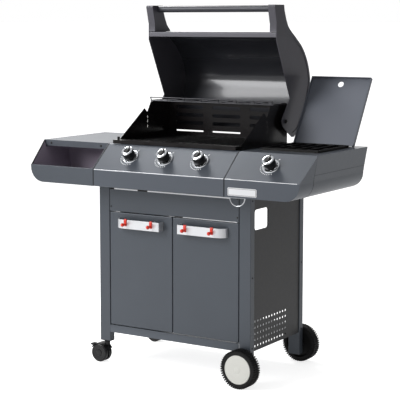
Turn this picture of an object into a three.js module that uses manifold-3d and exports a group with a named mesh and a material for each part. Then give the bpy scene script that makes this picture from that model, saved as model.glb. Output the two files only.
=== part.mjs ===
// A gas barbecue grill: a wheeled cabinet, a firebox with three burners under a domed lid,
// a control panel with four knobs, a storage bin and shelf on the left, a side burner on the right.
// Millimetres. +X is to the user's right, +Y is away from the user, +Z is up.
// The pieces are drawn with X = 0 on the cabinet's centre, Y = 0 on its front face and Z = 0 on the
// ground. The last lines move the whole group so that its origin is below the middle of the object.
// The lid and the side-burner lid stand open, the doors are shut and the grease tray is in.
import * as THREE from "three";
import { mergeVertices } from "three/addons/utils/BufferGeometryUtils.js";
import Module from "manifold-3d";

// ---- Driving dimensions ----
const SHEET = 1.5; // folded sheet steel
const FIT = 0.3; // clearance between two pieces that touch

const CABINET_WIDTH = 710;
const CABINET_DEPTH = 428;
const CABINET_TOP = 740;
const POST_WIDTH = 50;
const POST_DEPTH = 30;
const SKIRT_BOTTOM = 131;
const SKIRT_HEIGHT = 31;
const APRON_HEIGHT = 109;
const DOOR_GAP = 3;
const DOOR_THICKNESS = 18;
const DOOR_HINGE_INSET = { fromEdge: 8, fromFace: 6 };
const DOOR_PIN_RADIUS = 3;

const WHEEL_DIAMETER = 150;
const WHEEL_WIDTH = 45;
const WHEEL_GAP = 10.5; // between a wheel and its post
const WHEEL_CAP_DIAMETER = 112;
const AXLE_DIAMETER = 12;
const AXLE_RECESS = 9.5; // from a wheel's outer face in to the end of its axle
const WHEEL_POST_REACH = 35; // how far below the axle the posts that carry the wheels stop

const CASTER_HEIGHT = 92;
const CASTER_WHEEL_DIAMETER = 75;
const CASTER_WIDTH = 46;
const CASTER_TRAIL = 30;
const CASTER_STEM_DIAMETER = 11;

const COOK_WIDTH = 610; // control panel and lid
const PANEL_REACH = 110; // how far the control panel stands out from the cabinet
const PANEL_LIFT = 3; // gap between the cabinet and the panel
const PANEL_FACE = 67; // height of the panel's upright face
const SLOPE_RISE = 95; // height of the panel's sloping face
const KNOB_PITCH = 163;
const KNOB_SETBACK = 51;
const KNOB_DIAMETER = 48;
const KNOB_HEIGHT = 38;
const KNOB_TRAVEL = 3;
const STEM_DIAMETER = 8;

const SHELF_WIDTH = 332; // from the control panel's end to the outer edge of a shelf
const SHELF_TAPER = 17; // how far an end wall leans in by the height of the fold
const SHELF_CORNER = 60;
const SHELF_DEPTH = 424;
const BIN_DEPTH = 260;

const FIREBOX_INSET = 19; // between the control panel's end and the firebox's outer face
const FIREBOX_FRONT = 47;
const FIREBOX_DEPTH = 363;
const FIREBOX_WALL = 2.5;
const FIREBOX_BACK_RISE = 156; // back wall above the deck
const FIREBOX_LIP_RISE = 15; // front lip above the deck
const FIREBOX_FLOOR_RISE = 23; // floor above the cabinet
const GRATE_BELOW_LIP = 5;

const LID_HINGE_RISE = 89; // above the deck
const LID_HINGE_INSET = 50; // in front of the firebox's back
const LID_ARM_WIDTH = 32;
const LID_PLATE = 3;
const LID_SHEET = 2;
const LID_HANDLE_DIAMETER = 27;

const SIDE_BURNER_OFFSET = 165; // from the control panel's end
const SIDE_LID_WIDTH = 264;
const SIDE_LID_LENGTH = 299;
const SIDE_LID_OPEN = 121.5; // degrees
const SIDE_LID_HINGE_Y = 373;
const SIDE_LID_HINGE_RISE = 8; // above the deck

const HANDLE_INSET = 42; // from the middle of the cabinet
const HANDLE_LENGTH = 213;
const HANDLE_HEIGHT = 36;
const HANDLE_STANDOFF = 34;
const HANDLE_DROP = 22; // below the top of the door
const HANDLE_BAR = 3;

// ---- Values that follow from them ----
const halfCabinet = CABINET_WIDTH / 2;
const halfBay = halfCabinet - POST_WIDTH; // opening between the posts
const apronBottom = CABINET_TOP - APRON_HEIGHT;
const skirtTop = SKIRT_BOTTOM + SKIRT_HEIGHT;
const doorBottom = skirtTop + DOOR_GAP;
const doorTop = apronBottom - DOOR_GAP;
const halfCook = COOK_WIDTH / 2;
const halfSpan = halfCook + SHELF_WIDTH;
const foldX = halfSpan - SHELF_TAPER;
const postX = halfCabinet - POST_WIDTH / 2;
const frontPostY = POST_DEPTH / 2;
const rearPostY = CABINET_DEPTH - POST_DEPTH / 2;
const axleZ = WHEEL_DIAMETER / 2;
const wheelPostBottom = axleZ - WHEEL_POST_REACH;
const panelBottom = CABINET_TOP + PANEL_LIFT;
const panelFold = panelBottom + PANEL_FACE;
const deckHeight = panelFold + SLOPE_RISE; // side shelves and top edge of the control panel
const halfFirebox = halfCook - FIREBOX_INSET;
const fireboxBack = FIREBOX_FRONT + FIREBOX_DEPTH;
const fireboxRearHeight = deckHeight + FIREBOX_BACK_RISE;
const fireboxLip = deckHeight + FIREBOX_LIP_RISE;
const fireboxFloor = CABINET_TOP + FIREBOX_FLOOR_RISE;
const grateTop = fireboxLip - GRATE_BELOW_LIP;
const lidHinge = { y: fireboxBack - LID_HINGE_INSET, z: deckHeight + LID_HINGE_RISE };
const sideBurnerX = halfCook + SIDE_BURNER_OFFSET;
const sideLidHinge = { y: SIDE_LID_HINGE_Y, z: deckHeight + SIDE_LID_HINGE_RISE };
const slopeAngle = Math.atan2(SLOPE_RISE, PANEL_REACH);
const knobZ = deckHeight - (KNOB_SETBACK * SLOPE_RISE) / PANEL_REACH;
const knobXs = [-KNOB_PITCH, 0, KNOB_PITCH, sideBurnerX];
const burnerXs = knobXs.slice(0, 3);

// ---- Solids ----
const wasm = await Module();
wasm.setup();

// A closed geometry as a solid that can be joined and cut.
function solidOf(geometry) {
  const bare = geometry.clone();
  bare.deleteAttribute("normal");
  bare.deleteAttribute("uv");
  const merged = mergeVertices(bare, 1e-3);
  const corners = merged.index.array;
  const kept = [];
  for (let i = 0; i < corners.length; i += 3) {
    const [a, b, c] = corners.slice(i, i + 3);
    if (a !== b && b !== c && c !== a) kept.push(a, b, c);
  }
  const vertProperties = merged.attributes.position.array;
  const triVerts = new Uint32Array(kept);
  return new wasm.Manifold(new wasm.Mesh({ numProp: 3, vertProperties, triVerts }));
}

const join = (...solids) => solids.flat().reduce((whole, next) => whole.add(next));
const cut = (solid, ...tools) => tools.flat().reduce((left, tool) => left.subtract(tool), solid);

function box(x0, x1, y0, y1, z0, z1) {
  const geometry = new THREE.BoxGeometry(x1 - x0, y1 - y0, z1 - z0);
  geometry.translate((x0 + x1) / 2, (y0 + y1) / 2, (z0 + z1) / 2);
  return solidOf(geometry);
}

function extruded(shape, depth, curveSegments) {
  return new THREE.ExtrudeGeometry(shape, { depth, bevelEnabled: false, curveSegments });
}

// An outline drawn in Y and Z, carried along X.
function alongX(shape, x0, x1, curveSegments = 6) {
  const turn = new THREE.Matrix4().set(0, 0, 1, x0, 1, 0, 0, 0, 0, 1, 0, 0, 0, 0, 0, 1);
  return solidOf(extruded(shape, x1 - x0, curveSegments).applyMatrix4(turn));
}

// An outline drawn in X and Z, carried along Y.
function alongY(shape, y0, y1, curveSegments = 6) {
  const turn = new THREE.Matrix4().set(1, 0, 0, 0, 0, 0, -1, y1, 0, 1, 0, 0, 0, 0, 0, 1);
  return solidOf(extruded(shape, y1 - y0, curveSegments).applyMatrix4(turn));
}

// An outline drawn in X and Y, carried along Z.
function alongZ(shape, z0, z1, curveSegments = 6) {
  return solidOf(extruded(shape, z1 - z0, curveSegments).translate(0, 0, z0));
}

function rod(radius, length, sides) {
  return new THREE.CylinderGeometry(radius, radius, length, sides);
}

const rodX = (y, z, radius, x0, x1, sides = 12) =>
  solidOf(rod(radius, x1 - x0, sides).rotateZ(Math.PI / 2).translate((x0 + x1) / 2, y, z));
const rodY = (x, z, radius, y0, y1, sides = 12) =>
  solidOf(rod(radius, y1 - y0, sides).translate(x, (y0 + y1) / 2, z));
const rodZ = (x, y, radius, z0, z1, sides = 12) =>
  solidOf(rod(radius, z1 - z0, sides).rotateX(Math.PI / 2).translate(x, y, (z0 + z1) / 2));

// A profile of [radius, height] points turned about Z.
function turned(profile, sides) {
  const points = profile.map(([radius, height]) => new THREE.Vector2(radius, height));
  return solidOf(new THREE.LatheGeometry(points, sides).rotateX(Math.PI / 2));
}

// ---- Outlines ----
const polygon = (points) => new THREE.Shape(points.map(([a, b]) => new THREE.Vector2(a, b)));

function roundedRectangle(a0, a1, b0, b1, radius) {
  const shape = new THREE.Shape();
  shape.absarc(a1 - radius, b0 + radius, radius, -Math.PI / 2, 0);
  shape.absarc(a1 - radius, b1 - radius, radius, 0, Math.PI / 2);
  shape.absarc(a0 + radius, b1 - radius, radius, Math.PI / 2, Math.PI);
  shape.absarc(a0 + radius, b0 + radius, radius, Math.PI, 1.5 * Math.PI);
  shape.closePath();
  return shape;
}

function circle(a, b, radius, sides) {
  const corner = (i) => [
    a + radius * Math.cos((2 * Math.PI * (i + 0.5)) / sides),
    b + radius * Math.sin((2 * Math.PI * (i + 0.5)) / sides),
  ];
  return polygon(Array.from({ length: sides }, (_, i) => corner(i)));
}

// Moves each point of an open path to its left by a distance, with mitred corners.
function offsetPath(path, distance) {
  const normals = path.slice(1).map((point, i) => {
    const run = point.clone().sub(path[i]).normalize();
    return new THREE.Vector2(-run.y, run.x);
  });
  return path.map((point, i) => {
    const before = normals[Math.max(i - 1, 0)];
    const after = normals[Math.min(i, normals.length - 1)];
    const middle = before.clone().add(after).normalize();
    return point.clone().addScaledVector(middle, distance / middle.dot(before));
  });
}

// The section of a folded sheet: the path is one face and the sheet lies to its left.
function sheetSection(path, thickness = SHEET) {
  const points = path.map((p) => (p.isVector2 ? p : new THREE.Vector2(...p)));
  return new THREE.Shape([...points, ...offsetPath(points, thickness).reverse()]);
}

function arcPoints(a, b, radius, from, to, steps) {
  return Array.from({ length: steps + 1 }, (_, i) => {
    const angle = from + ((to - from) * i) / steps;
    return [a + radius * Math.cos(angle), b + radius * Math.sin(angle)];
  });
}

// ---- Finishes ----
const finish = (color, roughness, metalness) =>
  new THREE.MeshStandardMaterial({ color, roughness, metalness });
const FINISH = {
  cabinet: () => finish(0x5a5e65, 0.5, 0.35),
  enamel: () => finish(0x16141a, 0.3, 0.1),
  iron: () => finish(0x1c1c1e, 0.65, 0.4),
  wire: () => finish(0xa9adb2, 0.25, 1),
  steel: () => finish(0x9b9fa4, 0.35, 1),
  aluminium: () => finish(0xd2d5d8, 0.35, 0.9),
  plastic: () => finish(0x17181a, 0.45, 0),
  rubber: () => finish(0x101012, 0.85, 0),
  cap: () => finish(0xd8d8d0, 0.5, 0),
  red: () => finish(0xd23a26, 0.4, 0),
  brass: () => finish(0xb08d4a, 0.35, 1),
};

const grill = new THREE.Group();

function piece(name, solid, material, parent = grill) {
  const mesh = solid.getMesh();
  const geometry = new THREE.BufferGeometry();
  geometry.setAttribute("position", new THREE.BufferAttribute(mesh.vertProperties, 3));
  geometry.setIndex(new THREE.BufferAttribute(mesh.triVerts, 1));
  geometry.computeVertexNormals();
  const made = new THREE.Mesh(geometry, material);
  made.name = name;
  parent.add(made);
  return made;
}

function groupAt(x, y, z, rotationX = 0, parent = grill) {
  const group = new THREE.Group();
  group.position.set(x, y, z);
  group.rotation.x = rotationX;
  parent.add(group);
  return group;
}

// ---- Cabinet ----
const TUBE_WALL = 1.5;
const RAIL_HEIGHT = 45;
const EDGE_FOLD = 16; // depth of the folds along the apron, the rear rail and the panel's top edge
const FOOT_PLATE = 2; // closes the lower end of a post that stands on a caster

function postTube(x, y, bottom) {
  const [x0, x1] = [x - POST_WIDTH / 2, x + POST_WIDTH / 2];
  const [y0, y1] = [y - POST_DEPTH / 2, y + POST_DEPTH / 2];
  const [in0, in1] = [x0 + TUBE_WALL, x1 - TUBE_WALL];
  const bore = box(in0, in1, y0 + TUBE_WALL, y1 - TUBE_WALL, bottom - 1, CABINET_TOP + 1);
  return cut(box(x0, x1, y0, y1, bottom, CABINET_TOP), bore);
}

function makePosts() {
  for (const [end, y] of [["front", frontPostY], ["rear", rearPostY]]) {
    const plate = box(
      -postX - POST_WIDTH / 2,
      -postX + POST_WIDTH / 2,
      y - POST_DEPTH / 2,
      y + POST_DEPTH / 2,
      CASTER_HEIGHT,
      CASTER_HEIGHT + FOOT_PLATE,
    );
    const stemRadius = CASTER_STEM_DIAMETER / 2 + FIT;
    const stemHole = rodZ(-postX, y, stemRadius, CASTER_HEIGHT - 1, CASTER_HEIGHT + FOOT_PLATE + 1);
    const leftPost = cut(join(postTube(-postX, y, CASTER_HEIGHT), plate), stemHole);
    piece("post_" + end + "_left", leftPost, FINISH.cabinet());
    const axleEnd = POST_DEPTH / 2 + WHEEL_GAP + WHEEL_WIDTH - AXLE_RECESS;
    const [axle0, axle1] = end === "front" ? [y - axleEnd, y] : [y, y + axleEnd];
    const stubAxle = rodY(postX, axleZ, AXLE_DIAMETER / 2, axle0, axle1, 14);
    const rightPost = join(postTube(postX, y, wheelPostBottom), stubAxle);
    piece("post_" + end + "_right", rightPost, FINISH.cabinet());
  }
}

const SIDE_RECESS = 4; // the side panel lies this far inside the posts' outer faces
const HAND_OPENING = { inset: 6, length: 104, fromTop: 140, height: 80, corner: 12 };
const VENTS = { columns: 12, rows: 5, diameter: 9, pitchY: 22, pitchZ: 24, inset: 14, rise: 19 };

function sidePanelShape() {
  const [y0, y1] = [POST_DEPTH + FIT, CABINET_DEPTH - POST_DEPTH - FIT];
  const shape = polygon([[y0, SKIRT_BOTTOM], [y1, SKIRT_BOTTOM], [y1, CABINET_TOP], [y0, CABINET_TOP]]);
  const hand = HAND_OPENING;
  const handY = POST_DEPTH + hand.inset;
  const handZ = CABINET_TOP - hand.fromTop;
  shape.holes.push(
    roundedRectangle(handY, handY + hand.length, handZ, handZ + hand.height, hand.corner),
  );
  for (let column = 0; column < VENTS.columns; column++) {
    for (let row = 0; row < VENTS.rows; row++) {
      const y = y0 + VENTS.inset + column * VENTS.pitchY;
      const z = SKIRT_BOTTOM + VENTS.rise + row * VENTS.pitchZ;
      shape.holes.push(circle(y, z, VENTS.diameter / 2, 5));
    }
  }
  return shape;
}

function makeSidePanels() {
  const outer = halfCabinet - SIDE_RECESS;
  piece("side_panel_right", alongX(sidePanelShape(), outer - SHEET, outer, 3), FINISH.cabinet());
  piece("side_panel_left", alongX(sidePanelShape(), -outer, -outer + SHEET, 3), FINISH.cabinet());
}

function doorPinHoles(z0, z1) {
  const x = halfBay - DOOR_GAP - DOOR_HINGE_INSET.fromEdge;
  return [-x, x].map((px) => rodZ(px, DOOR_HINGE_INSET.fromFace, DOOR_PIN_RADIUS + FIT, z0, z1, 10));
}

function makeFloorAndRails() {
  const bay = halfBay - FIT;
  const between = halfCabinet - SIDE_RECESS - SHEET - FIT;
  const [front, rear] = [POST_DEPTH + FIT, CABINET_DEPTH - POST_DEPTH - FIT];
  const floor = polygon([
    [-bay, 0], [bay, 0], [bay, front], [between, front], [between, rear], [bay, rear],
    [bay, CABINET_DEPTH], [-bay, CABINET_DEPTH], [-bay, rear], [-between, rear],
    [-between, front], [-bay, front],
  ]);
  const skirt = box(-bay, bay, 0, SHEET, SKIRT_BOTTOM, skirtTop);
  const rearSkirt = box(-bay, bay, CABINET_DEPTH - SHEET, CABINET_DEPTH, SKIRT_BOTTOM, skirtTop);
  const shelf = join(alongZ(floor, skirtTop - SHEET, skirtTop), skirt, rearSkirt);
  piece("bottom_shelf", cut(shelf, doorPinHoles(skirtTop - 5, skirtTop + 5)), FINISH.cabinet());

  const apron = sheetSection([
    [EDGE_FOLD, CABINET_TOP], [0, CABINET_TOP], [0, apronBottom], [EDGE_FOLD, apronBottom],
  ]);
  const apronSolid = cut(alongX(apron, -bay, bay), doorPinHoles(apronBottom - 5, apronBottom + 5));
  piece("front_apron", apronSolid, FINISH.cabinet());

  const railTop = TRAY.bottom - TRAY.gap;
  const railBottom = railTop - RAIL_HEIGHT;
  const back = CABINET_DEPTH;
  const rail = sheetSection([
    [back - EDGE_FOLD, railBottom], [back, railBottom], [back, railTop], [back - EDGE_FOLD, railTop],
  ]);
  piece("rear_rail", alongX(rail, -bay, bay), FINISH.cabinet());
}

// ---- Doors ----
const HOOK_OFFSETS = [38, 160]; // from the inner end of the handle

// Outline of a door handle seen from above: a square inner bend and a wide curve at the outer end.
function handlePath(side) {
  const inner = HANDLE_INSET;
  const sweep = HANDLE_STANDOFF + 10;
  const foot = 3;
  const outer = inner + HANDLE_LENGTH;
  const front = -HANDLE_STANDOFF - FIT;
  const curve = Array.from({ length: 7 }, (_, i) => {
    const angle = (Math.PI / 2) * (i / 6);
    const y = -FIT - foot - (HANDLE_STANDOFF - foot) * Math.cos(angle);
    return [outer - sweep + sweep * Math.sin(angle), y];
  });
  const path = [[inner, -FIT], [inner, front], ...curve, [outer, -FIT]];
  const placed = path.map(([x, y]) => [side * x, y]);
  return side > 0 ? placed : placed.reverse();
}

function makeHook(name, x, top, parent) {
  const bar = -HANDLE_STANDOFF - FIT; // front face of the handle bar
  const [strap, width, drop] = [3, 11, 25];
  const front = bar - FIT;
  const rear = bar + HANDLE_BAR + FIT;
  const clip = sheetSection([
    [rear, top - 10], [rear, top + FIT], [front, top + FIT], [front, top - drop],
  ].reverse(), strap);
  const pegZ = top - drop + 7;
  const peg = rodY(x, pegZ, 4.5, front - 18, front - 1, 8);
  const ball = solidOf(new THREE.SphereGeometry(7.5, 10, 7).translate(x, front - 20, pegZ));
  piece(name, join(alongX(clip, x - width / 2, x + width / 2), peg, ball), FINISH.red(), parent);
}

function makeDoor(side, label) {
  const hingeX = side * (halfBay - DOOR_GAP - DOOR_HINGE_INSET.fromEdge);
  const hingeY = DOOR_HINGE_INSET.fromFace;
  const door = groupAt(hingeX, hingeY, 0);
  const content = groupAt(-hingeX, -hingeY, 0, 0, door);
  const near = DOOR_GAP / 2;
  const far = halfBay - DOOR_GAP;
  const [x0, x1] = side > 0 ? [near, far] : [-far, -near];
  const pan = box(x0, x1, 0, DOOR_THICKNESS, doorBottom, doorTop);
  const inside = box(
    x0 + SHEET, x1 - SHEET, SHEET, DOOR_THICKNESS + 1, doorBottom + SHEET, doorTop - SHEET,
  );
  const reach = DOOR_GAP + SHEET + 1;
  const pins = [
    rodZ(hingeX, hingeY, DOOR_PIN_RADIUS, doorTop - SHEET, doorTop + reach, 10),
    rodZ(hingeX, hingeY, DOOR_PIN_RADIUS, doorBottom - reach, doorBottom + SHEET, 10),
  ];
  piece("door_" + label, join(cut(pan, inside), ...pins), FINISH.cabinet(), content);

  const handleTop = doorTop - HANDLE_DROP;
  const bar = sheetSection(handlePath(side), HANDLE_BAR);
  const handle = alongZ(bar, handleTop - HANDLE_HEIGHT, handleTop);
  piece("door_handle_" + label, handle, FINISH.aluminium(), content);
  HOOK_OFFSETS.forEach((offset, i) => {
    makeHook("tool_hook_" + label + "_" + (i + 1), side * (HANDLE_INSET + offset), handleTop, content);
  });
}

// ---- Wheels and casters ----
function makeWheel(label, y, outward) {
  const wheel = groupAt(postX, y, axleZ, outward < 0 ? Math.PI / 2 : -Math.PI / 2);
  const rim = WHEEL_DIAMETER / 2;
  const half = WHEEL_WIDTH / 2;
  const bore = AXLE_DIAMETER / 2 + FIT;
  const hub = bore + 10;
  const capSeat = WHEEL_CAP_DIAMETER / 2 + FIT;
  const capDepth = 8.5;
  const profile = [
    [bore, half - capDepth], [bore, -half - WHEEL_GAP + 0.5], [hub, -half - WHEEL_GAP + 0.5],
    [hub, -half + 14], [capSeat - 4, -half + 14], [capSeat, -half + 1], [rim - 5, -half], [rim, -half + 6],
    [rim, half - 6], [rim - 5, half], [capSeat, half - 0.5], [capSeat, half - capDepth],
    [bore, half - capDepth],
  ];
  piece("wheel_" + label, turned(profile, 24), FINISH.rubber(), wheel);
  const capRadius = WHEEL_CAP_DIAMETER / 2;
  const capBack = half - capDepth + FIT;
  const cap = [
    [0, capBack], [capRadius, capBack], [capRadius, half - 1.5],
    [capRadius - 4, half + 0.5], [0, half + 1],
  ];
  piece("wheel_cap_" + label, turned(cap, 24), FINISH.cap(), wheel);
}

function makeWheels() {
  const reach = WHEEL_GAP + WHEEL_WIDTH / 2;
  const [frontY, rearY] = [-reach, CABINET_DEPTH + reach];
  makeWheel("front", frontY, -1);
  makeWheel("rear", rearY, 1);
}

const BRAKE_EYE = { angle: (140 * Math.PI) / 180, radius: 45 };
const HOOD = { gap: 1.2, wall: 2.6, halfWeb: 4.5, neck: 10, groundGap: 8 };
const CASTER_AXLE_RADIUS = 4;
const BRAKE_HALF_WIDTH = 11;
const BRAKE_PIN_RADIUS = 2;

function casterHood() {
  const wheelZ = CASTER_WHEEL_DIAMETER / 2;
  const wheelX = -CASTER_TRAIL;
  const inner = wheelZ + HOOD.gap;
  const outer = inner + HOOD.wall;
  const [from, to] = [(25 * Math.PI) / 180, (150 * Math.PI) / 180];
  const band = polygon([
    ...arcPoints(wheelX, wheelZ, outer, from, to, 9),
    ...arcPoints(wheelX, wheelZ, inner - 0.01, to, from, 9),
  ]);
  const web = polygon(arcPoints(wheelX, wheelZ, inner + 0.5, 0, (2 * Math.PI * 15) / 16, 15));
  const eyeX = wheelX + BRAKE_EYE.radius * Math.cos(BRAKE_EYE.angle);
  const eyeZ = wheelZ + BRAKE_EYE.radius * Math.sin(BRAKE_EYE.angle);
  const stem = CASTER_STEM_DIAMETER / 2;
  const hood = join(
    alongY(band, -CASTER_WIDTH / 2, CASTER_WIDTH / 2),
    alongY(web, -HOOD.halfWeb, HOOD.halfWeb),
    rodZ(0, 0, HOOD.neck, CASTER_WHEEL_DIAMETER - 2, CASTER_HEIGHT - FIT),
    box(-HOOD.neck, 8, -HOOD.halfWeb, HOOD.halfWeb, wheelZ + 15, CASTER_WHEEL_DIAMETER + 2),
    rodZ(0, 0, stem, CASTER_HEIGHT - 2, CASTER_HEIGHT + 24),
    rodY(eyeX, eyeZ, 5, -4, 4, 10),
    rodY(eyeX, eyeZ, BRAKE_PIN_RADIUS, -BRAKE_HALF_WIDTH, BRAKE_HALF_WIDTH, 8),
  );
  const axleHole = rodY(wheelX, wheelZ, CASTER_AXLE_RADIUS + FIT, -6, 6);
  return cut(hood, axleHole, box(-80, 40, -30, 30, -5, HOOD.groundGap));
}

function brakeLever() {
  const wheelZ = CASTER_WHEEL_DIAMETER / 2;
  const x = -CASTER_TRAIL + BRAKE_EYE.radius * Math.cos(BRAKE_EYE.angle);
  const z = wheelZ + BRAKE_EYE.radius * Math.sin(BRAKE_EYE.angle);
  const [ux, uz] = [Math.cos(BRAKE_EYE.angle), Math.sin(BRAKE_EYE.angle)];
  // Corners as distances from the eye, away from the wheel's centre and round it.
  const corners = [[-2.7, -3.5], [2.5, -4], [13, 6], [10.5, 11.5], [-0.5, 5], [-2.7, 2]];
  const tab = polygon(corners.map(([r, t]) => [x + r * ux - t * uz, z + r * uz + t * ux]));
  const slot = box(x - 7, x + 8, -4 - FIT, 4 + FIT, z - 8, z + 12);
  const pinHole = rodY(x, z, BRAKE_PIN_RADIUS + FIT, -BRAKE_HALF_WIDTH - 1, BRAKE_HALF_WIDTH + 1, 8);
  return cut(alongY(tab, -BRAKE_HALF_WIDTH, BRAKE_HALF_WIDTH), pinHole, slot);
}

function makeCaster(label, y, withBrake) {
  const caster = groupAt(-postX, y, 0);
  const wheelZ = CASTER_WHEEL_DIAMETER / 2;
  const half = CASTER_WIDTH / 2;
  piece("caster_hood_" + label, casterHood(), FINISH.plastic(), caster);
  const wheels = join(
    rodY(-CASTER_TRAIL, wheelZ, wheelZ, -half, -6, 24),
    rodY(-CASTER_TRAIL, wheelZ, wheelZ, 6, half, 24),
    rodY(-CASTER_TRAIL, wheelZ, CASTER_AXLE_RADIUS, -7, 7, 10),
  );
  piece("caster_wheels_" + label, wheels, FINISH.rubber(), caster);
  if (withBrake) piece("caster_brake_" + label, brakeLever(), FINISH.plastic(), caster);
}

// ---- Firebox ----
const BACK_SLOTS = { columns: 3, rows: 4, pitchX: 180, pitchZ: 33.5, length: 136, rise: 28 };
const BACK_SLOT_HEIGHT = { lowest: 6, others: 15 };
const SIDE_SLOTS = { y: 245, width: 5, height: 10, rises: [93, 75, 54] }; // above the deck
const LEDGE = 13; // depth of the ledges that the cooking grates rest on
const GRATE_HEIGHT = 12;
const HINGE_BOLT = { radius: 5, headRadius: 8, head: 3.5 };
const TRAY = { halfWidth: halfFirebox - 48, bottom: CABINET_TOP - 12, height: 27, front: 70, gap: 3 };
const DRAIN = { halfWidth: 150, front: FIREBOX_FRONT + 73, back: fireboxBack - 70 };

function sideWallShape() {
  const notch = [[221, fireboxRearHeight - 26], [243, fireboxRearHeight - 44], [271, fireboxRearHeight]];
  const shape = polygon([
    [FIREBOX_FRONT, CABINET_TOP + FIT], [fireboxBack, CABINET_TOP + FIT],
    [fireboxBack, fireboxRearHeight], ...notch.reverse(), [FIREBOX_FRONT, fireboxLip],
  ]);
  for (const rise of SIDE_SLOTS.rises) {
    const { y, width, height } = SIDE_SLOTS;
    const z = deckHeight + rise;
    shape.holes.push(polygon([
      [y - width / 2, z - height / 2], [y + width / 2, z - height / 2],
      [y + width / 2, z + height / 2], [y - width / 2, z + height / 2],
    ]));
  }
  return shape;
}

function backWall() {
  const shape = polygon([
    [-halfFirebox, fireboxFloor], [halfFirebox, fireboxFloor],
    [halfFirebox, fireboxRearHeight], [-halfFirebox, fireboxRearHeight],
  ]);
  const slots = BACK_SLOTS;
  for (let column = 0; column < slots.columns; column++) {
    for (let row = 0; row < slots.rows; row++) {
      const height = row === 0 ? BACK_SLOT_HEIGHT.lowest : BACK_SLOT_HEIGHT.others;
      const x = (column - (slots.columns - 1) / 2) * slots.pitchX;
      const z = deckHeight + slots.rise + row * slots.pitchZ;
      const [dx, dz] = [slots.length / 2, height / 2];
      shape.holes.push(roundedRectangle(x - dx, x + dx, z - dz, z + dz, dz - 0.1));
    }
  }
  return alongY(shape, fireboxBack - FIREBOX_WALL, fireboxBack, 3);
}

function makeFirebox() {
  const wall = FIREBOX_WALL;
  const inner = halfFirebox - wall;
  const base = CABINET_TOP + FIT;
  const front = box(-halfFirebox, halfFirebox, FIREBOX_FRONT, FIREBOX_FRONT + wall, base + 5, fireboxLip);
  const lip = sheetSection([
    [1 + wall, deckHeight + 1], [1 + wall, fireboxLip - wall], [FIREBOX_FRONT + wall, fireboxLip - wall],
  ], wall);
  const floor = cut(
    box(-halfFirebox, halfFirebox, FIREBOX_FRONT, fireboxBack, fireboxFloor, fireboxFloor + 2),
    box(-DRAIN.halfWidth, DRAIN.halfWidth, DRAIN.front, DRAIN.back, fireboxFloor - 1, fireboxFloor + 3),
  );
  const parts = [front, alongX(lip, -halfFirebox, halfFirebox), floor, backWall()];
  const runnerBottom = TRAY.bottom - FIT - SHEET;
  for (const side of [-1, 1]) {
    const span = (a, b) => (side > 0 ? [a, b] : [-b, -a]);
    const along = (x0, x1, y0, z0, z1) => box(...span(x0, x1), y0, fireboxBack, z0, z1);
    const runner = TRAY.halfWidth + TRAY.gap;
    const runnerFront = FIREBOX_FRONT + 13;
    const { y, z } = lidHinge;
    parts.push(
      alongX(sideWallShape(), ...span(inner, halfFirebox)),
      along(inner + 1, halfCook - FIT, FIREBOX_FRONT, deckHeight - 2, deckHeight),
      along(inner + 1, halfCabinet - 1, FIREBOX_FRONT, base, base + 2),
      along(runner, runner + SHEET, runnerFront, runnerBottom, fireboxFloor + 1),
      along(runner - 12, runner + SHEET, runnerFront, runnerBottom, runnerBottom + SHEET),
      rodX(y, z, HINGE_BOLT.radius, ...span(inner + 1, halfCook + 1.5), 10),
      rodX(y, z, HINGE_BOLT.headRadius, ...span(halfCook + 1, halfCook + HINGE_BOLT.head), 10),
    );
  }
  const ledgeTop = grateTop - GRATE_HEIGHT - FIT;
  for (const y of [FIREBOX_FRONT + 1, fireboxBack - LEDGE - 1]) {
    parts.push(box(-inner - 1, inner + 1, y, y + LEDGE, ledgeTop - 2, ledgeTop));
  }
  const [port0, port1] = [FIREBOX_FRONT - 2, FIREBOX_FRONT + 4];
  const ports = burnerXs.map((x) => rodY(x, BURNER.z, BURNER.neck + 1, port0, port1, 10));
  piece("firebox", cut(join(parts), ports), FINISH.enamel());
}

function makeGreaseTray() {
  const { halfWidth, bottom, height, front } = TRAY;
  const back = fireboxBack + 4;
  const inner = halfWidth - SHEET;
  const pan = cut(
    box(-halfWidth, halfWidth, front, back, bottom, bottom + height),
    box(-inner, inner, front + SHEET, back - SHEET, bottom + SHEET, bottom + height + 1),
  );
  const pull = box(-60, 60, back - 1, back + 14, bottom + height - SHEET, bottom + height);
  piece("grease_tray", join(pan, pull), FINISH.steel());
}

const BURNER = {
  z: fireboxFloor + 72,
  radius: 19,
  neck: 11,
  wall: 1.5,
  front: FIREBOX_FRONT + 15,
  back: fireboxBack - 12,
};

function makeBurners() {
  const { z, radius, neck, wall, front, back } = BURNER;
  burnerXs.forEach((x, i) => {
    const mouth = 6;
    const body = join(rodY(x, z, radius, front, back, 14), rodY(x, z, neck, mouth, front + 1, 14));
    const bore = [
      rodY(x, z, radius - wall, front + wall, back - wall, 14),
      rodY(x, z, neck - wall, mouth - 1, front + wall + 1, 14),
    ];
    piece("burner_" + (i + 1), cut(body, bore), FINISH.steel());
  });
  const ridge = 20;
  const low = z + radius + 8;
  const edge = halfFirebox - FIREBOX_WALL - 39;
  const zigzag = [
    [-edge, low], [-KNOB_PITCH, low + ridge], [-KNOB_PITCH / 2, low], [0, low + ridge],
    [KNOB_PITCH / 2, low], [KNOB_PITCH, low + ridge], [edge, low],
  ];
  const tamer = sheetSection(zigzag.reverse(), SHEET);
  piece("flame_tamer", alongY(tamer, FIREBOX_FRONT + 20, fireboxBack - 20), FINISH.enamel());
}

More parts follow.
